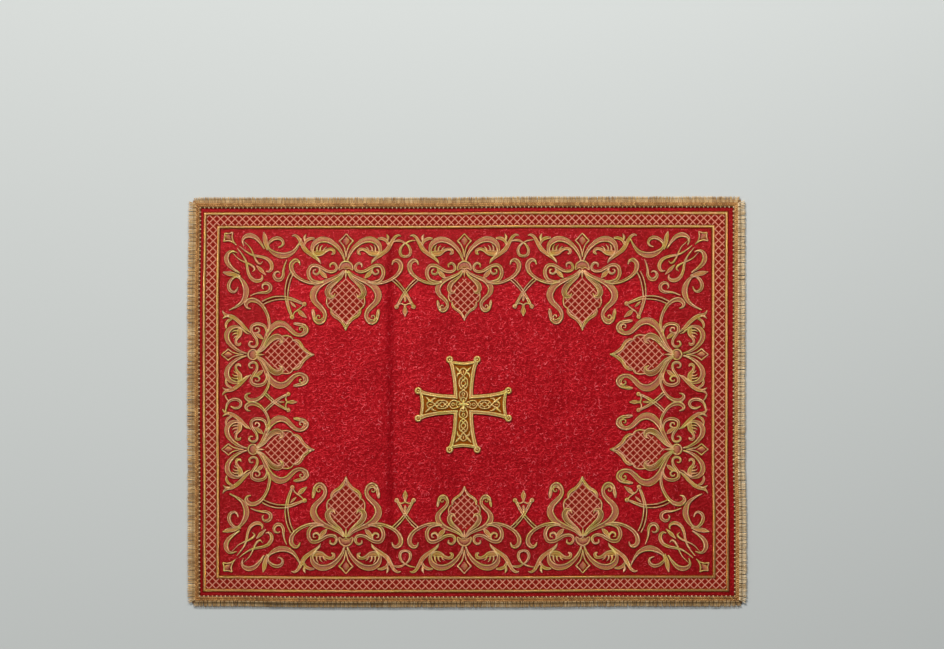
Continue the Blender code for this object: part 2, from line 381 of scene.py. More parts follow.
# Materials
def curl_layer(place, cell, radius, half_width, gap, shift):
    """(line, its random painted glint) of one little C-shaped curl in each cell of an uneven net."""
    tree = place.tree
    spot = of_vectors(place, "ADD", (shift, 0.7 * shift, 0.0))
    values = {"Vector": spot, "Scale": 1 / cell, "Randomness": 0.8}
    net = add(tree, "ShaderNodeTexVoronoi", values, voronoi_dimensions="2D")
    turn, painted_glint, size = parts_of(Out(tree, net.outputs["Color"]), "ShaderNodeSeparateColor")
    offset = of_vectors(spot, "SUBTRACT", Out(tree, net.outputs["Position"]))
    values = {"Vector": offset, "Angle": turn * TURN}
    u, v, _ = parts_of(out(tree, "ShaderNodeVectorRotate", values, rotation_type="Z_AXIS"))
    distance = (u ** 2.0 + v ** 2.0).calc("SQRT")
    away = abs(distance - (size * (0.5 * radius) + 0.7 * radius)) / half_width
    line = (1.25 - away).at_least(0.0).calc("SMOOTH_MIN", 1.0, 0.4)
    open_part = (abs(v.calc("ARCTAN2", u)) - gap) * 4.0
    return line * open_part.at_least(0.0).at_most(1.0), painted_glint


def outside_share(place, half_x, half_y, softness):
    """1 well outside a rectangle, 0 inside it."""
    x, y, _ = parts_of(place)
    beyond = (abs(x) - half_x).at_least(abs(y) - half_y) / softness
    return beyond.at_least(0.0).at_most(1.0)


def brocade_surface():
    """Red jacquard: glossy little curls with painted glints all over a darker satin ground, and painted shade
    where the embroidery lies.
    """
    material, tree = new_surface("red_brocade", 0.36, metallic=0.4, specular=0.25)
    place = object_place(tree)
    drift = of_vectors(noise_of(place, 130.0, 1.0, "Color"), "SUBTRACT", (0.5, 0.5, 0.5))
    bent = of_vectors(place, "ADD", of_vectors(drift, "MULTIPLY", (CURL_BEND, CURL_BEND, CURL_BEND)))
    hem = outside_share(place, MARGIN_HALF_X, MARGIN_HALF_Y, SOFT_EDGE)
    # Painted shade among the embroidery: the brocade is mixed towards a dark tint in the border.
    worked = outside_share(place, FIELD_HALF_X - WORKED_WIDTH, FIELD_HALF_Y - WORKED_WIDTH, WORKED_FADE)
    curls = tone = 0.0
    for curl in CURLS:
        line, painted_glint = curl_layer(bent, *curl)
        curls = line.at_least(curls)
        # Each curl is lighter than the ground, with a random painted glint.
        tone = (line * (painted_glint ** 2.0 * 0.85 + 0.25)).at_least(tone)
    x, y, _ = parts_of(place)
    weave = wave((x + y) * (TURN / TWILL))
    tone = tone * (hem * -0.46 + 0.56) + (noise_of(place, 750.0) * 0.8 - 0.42)
    tone = tone + weave * 0.1 + noise_of(place, 26.0) * 0.25
    shade = mixed(hem * -0.04 + worked * 0.24, ramp(tone, BROCADE_STOPS), colour(*WORKED_SHADE))
    return painted(material, shade, curls + weave * 0.2, strength=0.9)


def satin_surface(name, dark, middle, light, metallic, patchy):
    """Satin stitch in metallic thread, its stitches running across the stroke."""
    material, tree = new_surface(name, 0.3, metallic=metallic, specular=0.6)
    along, across = stitch_coordinates(tree)
    place = object_place(tree)
    stitch = wave(along * (TURN / STITCH) + across * 1.2)
    # Painted highlight along the crest of each stroke and painted shade towards its edges.
    tone = stitch * 0.25 + noise_of(place, 650.0) * 1.1 + (abs(across) ** 2.0 * -1.4 + 0.3)
    shade = ramp(tone, ((0.05, dark), (0.45, middle), (0.85, light)))
    tint = ramp(noise_of(place, 110.0, 1.0), THREAD_TINTS)
    return painted(material, mixed(patchy, shade, tint, "MULTIPLY"), stitch)


def shading_surface():
    """The comb stitches of a band: gold-brown at its strong edge, then mauve, with the cloth between."""
    material, tree = new_surface("shading_thread", 0.5, metallic=0.15)
    along, across = stitch_coordinates(tree)
    comb = noise_of(combined(tree, X=along * 950.0), 1.0, 1.0)
    specks = noise_of(object_place(tree), 1100.0)
    place = (across + (comb - 0.5) * 2.6) * 0.5 + 0.5 + (specks * 1.2 - 0.6)
    return painted(material, ramp(place, SHADING_STOPS), comb, 0.25 * MM, 0.7)


def lattice_surface():
    """The twisted threads of the nets."""
    material, tree = new_surface("lattice_thread", 0.5, metallic=0.05)
    along, _ = stitch_coordinates(tree)
    twist = wave(along * (TURN / NET_TWIST))
    return painted(material, ramp(twist, LATTICE_STOPS), twist, 0.1 * MM, 0.5)


def yarn_surface(name, dark, middle, light):
    """Trim yarn, whose tone varies from lock to lock."""
    material, tree = new_surface(name, 0.45, metallic=0.25, specular=0.6)
    lock_tone = out(tree, "ShaderNodeAttribute", output="Fac", attribute_name="tone")
    fibre = noise_of(object_place(tree), 900.0)
    tone = lock_tone * 0.6 + fibre * 0.5
    return painted(material, ramp(tone, ((0.2, dark), (0.55, middle), (0.9, light))), fibre, strength=0.6)


def woven_surface(name, dark, light, scale, looks):
    material, tree = new_surface(name, **looks)
    weave = noise_of(object_place(tree), scale)
    return painted(material, ramp(weave, ((0.3, dark), (0.7, light))), weave, strength=0.5)


def plain_surface(name, shade, roughness):
    material, _ = new_surface(name, roughness, specular=0.1)
    return painted(material, colour(*shade))


def all_surfaces():
    """Every material by its name."""
    made = [brocade_surface(), shading_surface(), lattice_surface()]
    for make, table in (
        (satin_surface, SATINS),
        (yarn_surface, YARNS),
        (woven_surface, WEAVES),
        (plain_surface, PLAINS),
    ):
        made += [make(name, *row) for name, row in table.items()]
    return {material.name: material for material in made}


# Geometry Nodes trees
SOCKET_KINDS = {bool: "Bool", int: "Int", float: "Float"}


def new_tree(name, inputs):
    """(tree, its inputs by name). An input is given by its first value or by the kind that it takes."""
    tree = bpy.data.node_groups.new(name, "GeometryNodeTree")
    tree.interface.new_socket("Geometry", in_out="INPUT", socket_type="NodeSocketGeometry")
    for label, value in inputs.items():
        kind = SOCKET_KINDS.get(type(value), value)
        socket = tree.interface.new_socket(label, in_out="INPUT", socket_type="NodeSocket" + kind)
        if kind != value:
            socket.default_value = value
    tree.interface.new_socket("Geometry", in_out="OUTPUT", socket_type="NodeSocketGeometry")
    source = tree.nodes.new("NodeGroupInput")
    return tree, {socket.name: Out(tree, socket) for socket in source.outputs}


def close_tree(tree, geometry, material):
    """Ends a tree in Realize Instances and Set Material."""
    real = out(tree, "GeometryNodeRealizeInstances", {"Geometry": geometry})
    shown = out(tree, "GeometryNodeSetMaterial", {"Geometry": real, "Material": material})
    add(tree, "NodeGroupOutput", {0: shown})
    return tree


def captured(geometry, **fields):
    """A geometry that keeps these fields at its points, and the fields as it keeps them."""
    node = add(geometry.tree, "GeometryNodeCaptureAttribute", domain="POINT")
    for label in fields:
        node.capture_items.new("FLOAT", label)
    give(node, {"Geometry": geometry, **fields})
    return [Out(geometry.tree, node.outputs[label]) for label in ("Geometry", *fields)]


def swept_thread(curve, facets, lift, rise, base, spread=0.0, rounded=True):
    """A curve with its radius as half width, swept into a domed thread with its stitch coordinates."""
    tree = curve.tree
    upright = out(tree, "GeometryNodeSetCurveNormal", {"Curve": curve}, mode="Z_UP")
    length = out(tree, "GeometryNodeSplineParameter", output="Length")
    radius = out(tree, "GeometryNodeInputRadius") + spread
    stroke, along, half_width = captured(upright, along=length, half_width=radius)
    ring = out(tree, "GeometryNodeCurvePrimitiveCircle", {"Resolution": facets, "Radius": 1.0})
    x, y, _ = parts_of(out(tree, "GeometryNodeInputPosition"))
    profile, across, crest = captured(ring, across=x, crest=y.at_least(-0.3))
    values = {"Curve": stroke, "Profile Curve": profile, "Scale": half_width, "Fill Caps": True}
    swept = out(tree, "GeometryNodeCurveToMesh", values)
    height = (half_width * rise + lift) * crest + base
    x, y, _ = parts_of(out(tree, "GeometryNodeInputPosition"))
    place = combined(tree, X=x, Y=y, Z=height)
    lifted = out(tree, "GeometryNodeSetPosition", {"Geometry": swept, "Position": place})
    values = {"Geometry": lifted, "Name": "stitches", "Value": combined(tree, X=along, Y=across)}
    stored = out(tree, "GeometryNodeStoreNamedAttribute", values, data_type="FLOAT2", domain="CORNER")
    return out(tree, "GeometryNodeSetShadeSmooth", {"Geometry": stored, "Shade Smooth": rounded})


def thread_tree():
    """Plain strokes: the curve's radius is the half width."""
    inputs = {"Facets": 8, "Lift": 0.5 * MM, "Rise": 0.3, "Base": CLOTH, "Spread": 0.0, "Rounded": True}
    tree, given = new_tree("worked_threads", {**inputs, "Material": "Material"})
    swept = swept_thread(given["Geometry"], *(given[label] for label in inputs))
    return close_tree(tree, swept, given["Material"])


def band_edge_tree():
    """The two cords along a band: the strong one on its left and the fine one on its right."""
    inputs = {"Facets": 6, "Lift": 0.7 * MM, "Rise": 0.65, "Base": CLOTH}
    cords = {"Strong": 0.85 * MM, "Fine": 0.5 * MM}
    tree, given = new_tree("band_edges", {**inputs, **cords, "Material": "Material"})
    upright = out(tree, "GeometryNodeSetCurveNormal", {"Curve": given["Geometry"]}, mode="Z_UP")
    normal = out(tree, "GeometryNodeInputNormal")
    radius = out(tree, "GeometryNodeInputRadius")
    sides = add(tree, "GeometryNodeJoinGeometry")
    for side, size in ((1.0, given["Strong"]), (-1.0, given["Fine"])):
        inset = (radius - size).at_least(0.0) * side
        shift = out(tree, "ShaderNodeVectorMath", {0: normal, "Scale": inset}, operation="SCALE")
        moved = out(tree, "GeometryNodeSetPosition", {"Geometry": upright, "Offset": shift})
        cord = size.at_most(radius + 0.2 * MM)
        give(sides, {0: out(tree, "GeometryNodeSetCurveRadius", {"Curve": moved, "Radius": cord})})
    swept = swept_thread(Out(tree, sides.outputs[0]), *(given[label] for label in inputs))
    return close_tree(tree, swept, given["Material"])


def row_tree():
    """Copies of a small piece along a line, in bunches, each turned, sized and toned a little apart."""
    tree, given = new_tree(
        "rows_of_yarn",
        {
            "Piece": "Object",
            "Count": 10,
            "Bunch": 1,
            "Draw in": 0.0,
            "Fan": 0.0,
            "Lean": 0.0,
            "Splay": 0.0,
            "Splay from": 1.0,
            "Turn spread": 0.05,
            "Length spread": 0.05,
            "Height spread": 0.0,
            "Tone floor": 0.0,
            "Seed": 3,
            "Material": "Material",
        },
    )

    def chance(low, high, order, **identity):
        """A random value for each copy, or for each thing that has its own identity."""
        seed = out(tree, "FunctionNodeIntegerMath", {0: given["Seed"], 1: order}, operation="ADD")
        values = {2: low, 3: high, "Seed": seed, **identity}
        return out(tree, "FunctionNodeRandomValue", values, 1, data_type="FLOAT")

    def around_zero(spread, order, **identity):
        return chance(-given[spread], given[spread], order, **identity)

    values = {"Curve": given["Geometry"], "Count": given["Count"]}
    spots = out(tree, "GeometryNodeCurveToPoints", values, "Points", mode="COUNT")
    index = out(tree, "GeometryNodeInputIndex")
    bunch = (index / given["Bunch"]).calc("FLOOR")
    place = index - bunch * given["Bunch"] - (given["Bunch"] - 1.0) * 0.5
    shift = combined(tree, X=-(place * given["Draw in"]))
    drawn = out(tree, "GeometryNodeSetPosition", {"Geometry": spots, "Offset": shift})
    turn = around_zero("Turn spread", 1) + given["Lean"] + around_zero("Turn spread", 2, ID=bunch)
    turn = turn - place * given["Fan"]
    x, _, _ = parts_of(out(tree, "GeometryNodeInputPosition"))
    past = (abs(x) - given["Splay from"]).at_least(0.0) * x.calc("SIGN")
    angles = combined(tree, Z=turn - past * given["Splay"])
    longer = around_zero("Length spread", 3) + 1.0
    taller = around_zero("Height spread", 4) + 1.0
    sizes = combined(tree, X=1.0, Y=longer, Z=taller)
    piece = out(tree, "GeometryNodeObjectInfo", {"Object": given["Piece"], "As Instance": True}, "Geometry")
    values = {"Points": drawn, "Instance": piece, "Rotation": angles, "Scale": sizes}
    copies = out(tree, "GeometryNodeInstanceOnPoints", values)
    tone = chance(0.0, 1.0, 5) * 0.4 + (chance(0.0, 1.0, 6, ID=bunch) * 0.4 + given["Tone floor"])
    values = {"Geometry": copies, "Name": "tone", "Value": tone}
    stored = out(tree, "GeometryNodeStoreNamedAttribute", values, data_type="FLOAT", domain="INSTANCE")
    return close_tree(tree, stored, given["Material"])


# Objects
def new_object(name, data):
    obj = bpy.data.objects.new(name, data)
    bpy.context.scene.collection.objects.link(obj)
    return obj


def mesh_object(name, points, faces, materials=(), slots=None, stitches=None, flip=False, rounded=True):
    """A mesh object, where given with a slot for each face and stitch coordinates for each point."""
    mesh = bpy.data.meshes.new(name)
    mesh.from_pydata(points, [], faces)
    for material in materials:
        mesh.materials.append(material)
    if slots is not None:
        mesh.polygons.foreach_set("material_index", slots)
    if stitches is not None:
        corners = [stitches[loop.vertex_index] for loop in mesh.loops]
        mesh.uv_layers.new(name="stitches").uv.foreach_set("vector", np.ravel(corners))
    if flip:
        mesh.flip_normals()
    if rounded:
        mesh.shade_smooth()
    return new_object(name, mesh)


def curve_object(name, strokes, height=0.0):
    """A curve object with a POLY spline for each stroke, whose points are (x, y, half width) in metres."""
    data = bpy.data.curves.new(name, "CURVE")
    data.dimensions = "3D"
    for stroke in strokes:
        spline = data.splines.new("POLY")
        spline.points.add(len(stroke) - 1)
        spline.points.foreach_set("co", np.ravel([(x, y, height, 1.0) for x, y, _ in stroke]))
        spline.points.foreach_set("radius", [half_width for _, _, half_width in stroke])
    return new_object(name, data)


def grow(obj, tree, **values):
    """Runs a Geometry Nodes tree on an object and leaves a plain mesh object of the same name."""
    modifier = obj.modifiers.new("grow", "NODES")
    modifier.node_group = tree
    for item in tree.interface.items_tree:
        label = item.name.replace(" ", "_")
        if item.item_type == "SOCKET" and item.in_out == "INPUT" and label in values:
            modifier[item.identifier] = values[label]
    obj.update_tag()
    bpy.context.view_layer.update()
    graph = bpy.context.evaluated_depsgraph_get()
    mesh = bpy.data.meshes.new_from_object(obj.evaluated_get(graph), depsgraph=graph)
    name, curve = obj.name, obj.data
    bpy.data.objects.remove(obj)
    bpy.data.curves.remove(curve)
    return new_object(name, mesh)


def joined(name, objects):
    """One object of the meshes of several."""
    first = objects[0]
    with bpy.context.temp_override(active_object=first, object=first, selected_editable_objects=objects):
        bpy.ops.object.join()
    first.name = name
    first.data.name = name
    return first


def ring_faces(count, size, closed=False):
    """The faces between rings of points that follow each other, back to the first ring if closed."""
    faces = []
    for ring in range(count if closed else count - 1):
        low, high = ring * size, (ring + 1) % count * size
        for step in range(size):
            after = (step + 1) % size
            faces.append((low + step, low + after, high + after, high + step))
    return faces


def capped_faces(count, size):
    """The faces of a tube of rings with its two flat ends."""
    last = (count - 1) * size
    return ring_faces(count, size) + [tuple(range(size))[::-1], tuple(range(last, last + size))]


def metres(strokes):
    return [[(x * MM, y * MM, width * MM) for x, y, width in stroke] for stroke in strokes]


# Strokes of the embroidery
LEAST_HALF_WIDTH = 0.15


def thinned(path, slack):
    """A path without the points that lie within slack of the line between those kept."""
    path = np.array(path)
    kept = [0]
    for end in range(2, len(path)):
        start = kept[-1]
        shares = np.linspace(0, 1, end - start + 1)[1:-1, None]
        line = path[start] + (path[end] - path[start]) * shares
        if np.abs(path[start + 1:end] - line).max() > slack:
            kept.append(end - 1)
    kept.append(len(path) - 1)
    return path[kept].tolist()


def smooth_path(points, step=0.8, slack=0.035):
    """A smooth path through rows (u, v, half width) in millimetres."""
    rows = [np.array(row, float) for row in points]
    ends = [2 * rows[0] - rows[1]] + rows + [2 * rows[-1] - rows[-2]]
    path = []
    for before, start, end, after in zip(ends, ends[1:], ends[2:], ends[3:]):
        count = max(2, round(np.hypot(*(end - start)[:2]) / step))
        for share in np.arange(count) / count:
            bend = (2 * before - 5 * start + 4 * end - after) * share ** 2
            twist = (3 * start - before - 3 * end + after) * share ** 3
            path.append(start + 0.5 * ((end - before) * share + bend + twist))
    path.append(rows[-1])
    return [(u, v, max(width, LEAST_HALF_WIDTH)) for u, v, width in thinned(path, slack)]


def placed(stroke, matrix, offset=(0.0, 0.0)):
    """A stroke through a 2 by 2 matrix and an offset. A mirrored one is reversed to keep its left side."""
    (a, b), (c, d) = matrix
    turned = [(a * u + b * v + offset[0], c * u + d * v + offset[1], width) for u, v, width in stroke]
    return turned[::-1] if a * d - b * c < 0 else turned


def shifted(stroke, shift, up=0.0):
    return [(u + shift, v + up, width) for u, v, width in stroke]


def ring_stroke(x, y, size):
    """A cord coiled once round a knob."""
    reach, half = 0.68 * size, 0.34 * size
    angles = np.linspace(0, TURN, 17)
    return [(x + reach * math.cos(angle), y + reach * math.sin(angle), half) for angle in angles]


# Kinds of stroke: its filling, and the half widths of the cords at its left and right in millimetres.
KINDS = {
    "gold": ("gold", 0, 0),
    "band": ("shading", 1.0, 0.5),
    "leaf": ("gilt", 0.9, 0.5),
    "sepal": ("olive", 0.9, 0.6),
    "sprig": ("gilt", 0.6, 0.55),
    "pair": ("", 0.85, 0.8),
    "mauve": ("shading", 0, 0),
    "gilt": ("gilt", 0, 0),
    "ground": ("ground", 0, 0),
    "net": ("net", 0, 0),
}

# Motifs: kind of stroke, whether it is mirrored, and rows (u, v, half width) in millimetres.
# A palmette's crown, measured from the middle of its collar.
CROWN = (
    ("leaf", True, ((0, 68.6, 0.6), (1.6, 63, 1.5), (6.4, 56.8, 1.8), (12.4, 52.8, 1.8), (15.2, 49, 1.6),
        (15.4, 45.2, 0.9))),
    ("gold", True, ((15.2, 45.6, 0.6), (18.6, 43.4, 0.9), (20.4, 38.8, 1), (19.8, 33, 0.9))),
    ("sepal", True, ((11.4, 29, 0.4), (13.6, 32.6, 1.4), (17.6, 32.2, 2.4), (19.4, 27.6, 3.2),
        (16.8, 21.6, 3.2), (10.8, 16.4, 2.3), (5.2, 11.8, 1.5), (1.2, 5, 1))),
    ("gold", True, ((17.4, 30.6, 0.2), (18.2, 26.8, 0.35), (15.2, 21, 0.4), (9.6, 15.4, 0.35),
        (4.4, 10, 0.2))),
    ("gold", False, ((0, 13.4, 0.3), (0, 9, 1.3), (0, 3.6, 1.6))),
)

# The long-necked scroll at each side of a crown.
NECK = (
    ("band", True, ((34.4, 47.4, 0.9), (34.5, 50.2, 1.6), (34.2, 54.2, 1.8), (32.6, 58.2, 1.9),
        (29, 60.7, 2.1), (25.2, 59.6, 2.2), (22.6, 55.8, 2.2), (22, 51.6, 2.1), (23.6, 47.4, 2.4),
        (27.2, 43.3, 2.7), (31.7, 39, 3), (34.3, 34.4, 3.5), (34.7, 29.6, 3.8), (32.8, 25.2, 3.8),
        (29, 21, 3.3), (23.2, 17.2, 2.8), (15.6, 14, 2.2), (7.6, 9.8, 1.7), (2.2, 4.4, 1))),
    ("sprig", True, ((33.4, 57, 0.5), (34.2, 53, 1.8), (34.8, 49.4, 1.9), (35.2, 45.8, 0.9))),
    ("gold", True, ((24.8, 54.6, 0.4), (26.8, 57, 0.8), (30, 57.2, 0.9), (31.4, 54.8, 0.9), (30, 52.6, 0.9),
        (27.8, 53.2, 0.8), (28.2, 55, 0.5))),
)

# The collar between crown and foot: a cup on the long sides and a round knob at the ends.
COLLAR = (
    ("mauve", False, ((-6, 2, 1.2), (-3.4, -0.6, 2.4), (0, -1.6, 3), (3.4, -0.6, 2.4), (6, 2, 1.2))),
    ("gold", False, ((-7, 4.2, 0.5), (-7.4, 1.4, 1), (-5.2, -3.2, 1.1), (0, -5.6, 1.2), (5.2, -3.2, 1.1),
        (7.4, 1.4, 1), (7, 4.2, 0.5))),
    ("gold", True, ((0, 2.6, 0.7), (3.2, 1.8, 0.7), (5.6, 3, 0.7), (7, 4, 0.4))),
)
END_COLLAR = (
    ("mauve", False, ((-4, 0.8, 1.4), (-2, 0.8, 3.6), (2, 0.8, 3.6), (4, 0.8, 1.4))),
    ("gold", False, ((0, 5.6, 0.9), (-3.8, 4.2, 1), (-5.4, 0.8, 1), (-3.8, -2.8, 1.1), (0, -4.4, 1.2),
        (3.8, -2.8, 1.1), (5.4, 0.8, 1), (3.8, 4.2, 1), (0, 5.6, 0.9))),
)

FOOT = (
    ("band", True, ((24, 16.2, 0.6), (31, 16.4, 1.5), (37, 14.2, 1.9), (39.8, 9.4, 2.1), (39.8, 4, 2.1),
        (36.8, -0.4, 2.1), (31.6, -0.8, 2), (26.2, 1.6, 1.9), (20.4, 5, 1.8), (14.6, 5.8, 1.7),
        (10.6, 3.6, 1.6), (10.4, -0.8, 1.5), (13.4, -3.6, 1.4), (17, -2.2, 1.1), (16.8, 0.8, 0.6))),
    ("band", True, ((29, 1.4, 0.5), (28.4, 5, 1.1), (31, 8.2, 1.3), (34.6, 7, 1.1), (34.6, 4, 0.8),
        (32.4, 3.6, 0.4))),
    ("sprig", True, ((20.4, 12.4, 0.3), (23, 9.8, 2.3), (26, 6.6, 2.2), (29, 2.6, 0.6))),
    ("band", True, ((33.6, -11, 0.8), (36.4, -16.8, 1.8), (34.6, -24, 2.8), (27.6, -28.6, 3.3),
        (18.4, -27.6, 3), (9.8, -21.4, 2.3), (4.2, -13.6, 1.7), (1.6, -6.4, 1))),
    ("gold", True, ((33.6, -12.6, 0.7), (31.8, -9.6, 1.6), (28.6, -6.6, 1.1), (27.2, -2.8, 0.3))),
    ("leaf", True, ((35, -15.6, 1.2), (31.2, -14, 3.1), (26.4, -14.4, 2.9), (21.8, -17, 2),
        (17.4, -18.6, 1.7), (13.8, -17.6, 1.9), (13.2, -14.6, 1.6), (15.6, -13, 0.8))),
    ("gold", True, ((31.4, -16.4, 1.4), (31.4, -20.4, 1), (29.6, -23.4, 0.3))),
    ("gold", True, ((28, -16.4, 1.4), (27.6, -20.2, 1), (25.4, -22.8, 0.3))),
    ("gold", True, ((24.4, -16.4, 1.2), (23.4, -19.4, 0.9), (21, -21.4, 0.3))),
    ("gold", True, ((0, -10, 0.6), (1, -16.4, 0.9), (3, -22.2, 1), (7.4, -27.6, 1.1))),
    ("gold", True, ((7.6, -27.2, 1), (4, -30.6, 1), (0, -35.2, 0.7))),
    ("mauve", False, ((0, -23, 0.3), (0, -27.8, 3.6), (0, -31.6, 0.4))),
)

# The outer spine of a foot with its lower loop and small leaf, on the long sides and at the ends.
SPINE = (
    ("sprig", True, ((27.4, -3.6, 0.3), (32, -8.6, 1.4), (38.4, -13.4, 2), (44.4, -18.6, 2.4),
        (48.2, -25.2, 2.1), (51.6, -31, 1.7), (55.4, -33.6, 1.3), (58.6, -33, 0.4))),
    ("sprig", True, ((34, -30.2, 1), (39, -30, 1.8), (43.4, -27.6, 1.7), (46, -22.4, 1.1))),
    ("gold", True, ((44.6, -27.6, 0.8), (45, -31, 1.9), (43.6, -34.8, 0.3))),
)
END_SPINE = (
    ("sprig", True, ((23.4, -1.4, 0.3), (26.2, -4.8, 1.2), (30, -9, 1.9), (34.6, -13.2, 2.1),
        (38.6, -17.8, 2.2), (41.2, -22.6, 2.1), (42.4, -27.4, 1.7), (44.6, -30.4, 1.1),
        (47.2, -31.8, 0.4))),
    ("sprig", True, ((28.4, -28, 0.8), (32.4, -28, 1.4), (36.2, -26, 1.5), (38.6, -22, 1.1))),
    ("gold", True, ((41.8, -25, 1.4), (40.8, -28.8, 1.5), (38.6, -31.8, 0.3))),
)

STEM = (
    ("band", True, ((49.4, -1.8, 0.5), (50.6, -5.4, 1.3), (54.6, -6.8, 2.1), (58.6, -3, 2.5),
        (58.6, 3, 2.4), (55, 9, 2), (48.6, 13.8, 1.8), (40.6, 17.2, 1.7), (32, 18.4, 1.6), (24, 17, 1))),
)

# Between two palmettes of a long side: a loop with a tail below, and a crossed sprig with knobs above.
MIDWAY = (
    ("band", True, ((0, -10.6, 1.4), (4.2, -12.2, 1.6), (5.6, -16.6, 1.6), (4, -21.2, 1.4),
        (0.6, -24.8, 0.9))),
    ("sprig", False, ((0.6, -24.6, 0.8), (-4.4, -27.4, 1.3), (-9, -27.8, 1.3), (-13, -26.8, 0.4))),
    ("gold", False, ((-0.6, -24.6, 0.7), (4.4, -27.2, 1.1), (11, -28.4, 0.5))),
    ("pair", True, ((13.6, 13.2, 2.2), (8.2, 18, 2.2), (2.9, 24, 2), (-2.1, 31, 1.8), (-5.8, 37.6, 1.7),
        (-8.2, 42, 1.5))),
    ("gilt", True, ((0.4, 27.6, 0.8), (-2.1, 31, 1.2), (-5.8, 37.6, 1.2), (-8.2, 42, 1))),
    ("knob", True, ((9.1, 43.3, 2.5),)),
    ("gold", True, ((8.6, 42.2, 0.8), (4.3, 39.9, 1), (0, 41.6, 1))),
    ("sprig", False, ((0, 30.6, 0.3), (0, 34.8, 1.4), (0, 37.8, 0.8))),
    ("sprig", False, ((0, 41.4, 1.2), (0, 44.2, 1.5), (0, 48.4, 2.8), (0, 53.6, 0.3))),
    ("ground", False, ((0, 45.6, 0.2), (0, 48.4, 0.8), (0, 50.8, 0.2))),
)

# Between the two palmettes of an end: a curl at the rail and a shorter sprig.
END_MIDWAY = (
    ("band", False, ((-9.7, -28.4, 0.8), (-2.7, -27, 1.3), (1.6, -23.6, 1.6), (3.2, -18.2, 1.7),
        (1.4, -13.4, 1.7), (-2.2, -11.8, 1.6), (-5.8, -14, 1.5), (-6.8, -18.4, 1.4), (-4.6, -23, 0.6))),
    ("gold", False, ((7.5, -29, 0.9), (4, -27.6, 1.1), (1.2, -25.4, 0.6))),
    ("pair", True, ((10.2, 13, 1.9), (4.6, 18.6, 1.9), (-0.6, 24.8, 1.8), (-4.6, 30.6, 1.6),
        (-7.8, 36.8, 1.4))),
    ("gilt", True, ((1.2, 22.4, 0.8), (-0.6, 24.8, 1.1), (-4.6, 30.6, 1.1), (-7.8, 36.8, 0.9))),
    ("knob", True, ((8.6, 38.9, 2.3),)),
    ("gold", True, ((8.2, 37.6, 0.8), (4, 36, 1), (0, 37.4, 1))),
    ("sprig", False, ((0, 27.4, 0.3), (0, 31.4, 1.3), (0, 34.6, 0.5))),
    ("sprig", False, ((0, 37.2, 1.1), (0, 40, 1.5), (0, 43.4, 2.2), (0, 48, 0.3))),
)

# A corner, from the inner corner of the field: rows (p along the bottom, q up the side, half width).
CORNER = (
    ("band", True, ((10.7, 87.7, 0.6), (17.7, 84.2, 1.3), (24.6, 79, 2.1), (28.2, 72, 3), (28.6, 65, 3.2),
        (26, 58.4, 2.5), (21.8, 53.2, 1.5), (17, 51.8, 1.4), (12.2, 55.8, 1.8), (10.2, 61.2, 2),
        (11.7, 66, 1.8), (15.8, 68, 1.4), (18.9, 65.8, 1), (20, 62.6, 0.4))),
    ("sprig", True, ((3.6, 46.8, 0.3), (9.1, 48.2, 2.4), (16, 49.2, 2.2), (23, 51, 0.6))),
    ("band", True, ((18.4, 25.6, 0.4), (13.6, 24.2, 1.2), (9.4, 26, 2), (7.2, 31.4, 2.7), (9.2, 37.8, 2.4),
        (14.8, 43.2, 1.6), (21.6, 47.8, 0.8))),
    ("leaf", True, ((18.8, 21, 0.3), (23.6, 27, 0.8), (27.4, 33, 1.1), (29.4, 39.4, 1.4), (30.6, 46, 1.6),
        (33.4, 52.2, 1.9), (38, 55.6, 2.1), (43, 55.8, 1.9), (46, 53.2, 1.3), (45.6, 49.8, 0.5))),
    ("gold", True, ((13.6, 25.6, 0.3), (19.8, 32, 0.7), (25.8, 35.4, 0.9), (31.7, 37.8, 1.3),
        (36.2, 40.8, 1.5), (37.6, 43.8, 1.1), (35, 46.2, 0.3))),
    ("sprig", False, ((39.6, 39.6, 0.4), (44.4, 44.4, 2.1), (49.8, 49.8, 0.3))),
    ("gold", True, ((17.6, 17.6, 0.4), (13.6, 14.4, 0.9), (8.8, 12.8, 1), (3.8, 13.6, 0.9))),
    ("gold", True, ((3.8, 13.6, 0.9), (5.2, 9.2, 1), (4.9, 4.9, 1))),
    ("mauve", False, ((6.2, 6.2, 1.6), (8.6, 8.6, 2.9), (11.4, 11.4, 0.6))),
    ("band", True, ((33.4, 72.2, 0.4), (39.2, 69.8, 0.9), (45.1, 68.6, 1.3), (50.4, 68.4, 1.7),
        (54.4, 65.8, 2), (54.6, 61.6, 2), (51, 58.8, 1.8), (47.4, 59.8, 1.3), (46.2, 63, 0.9),
        (47.6, 65, 0.4))),
    ("pair", False, ((46.7, 79.8, 2.5), (53.1, 76.8, 2.6), (60.6, 74.8, 2.6), (68.1, 74.4, 2.4),
        (75.1, 75, 2), (82.1, 77.4, 1.8), (89.1, 80.4, 1.5))),
    ("pair", False, ((78.3, 46.9, 2.5), (75.2, 53.4, 2.6), (73.2, 61, 2.6), (72.2, 69.6, 2.4),
        (72.8, 77.6, 2), (75, 86, 1.8), (77.5, 92.6, 1.5))),
    ("gilt", False, ((73, 74.6, 0.8), (76.6, 75.4, 1.3), (82.1, 77.4, 1.3), (89.1, 80.4, 1))),
    ("gilt", False, ((72.4, 74.6, 0.8), (73.2, 79, 1.3), (75, 86, 1.3), (77.5, 92.6, 1))),
    ("knob", False, ((91.5, 81, 2.5),)),
    ("knob", False, ((78.4, 95, 2.5),)),
    ("gold", False, ((79.2, 93.4, 0.6), (81.2, 89.8, 0.9), (84.6, 87.4, 1), (87.6, 85.2, 0.9),
        (90.4, 82.4, 0.6))),
    ("sprig", False, ((76.4, 78.6, 0.3), (79.4, 81.6, 1.4), (82.4, 84.4, 0.6))),
    ("sprig", False, ((84, 87, 0.8), (88.6, 91.4, 2.5), (94, 95.6, 0.3))),
)

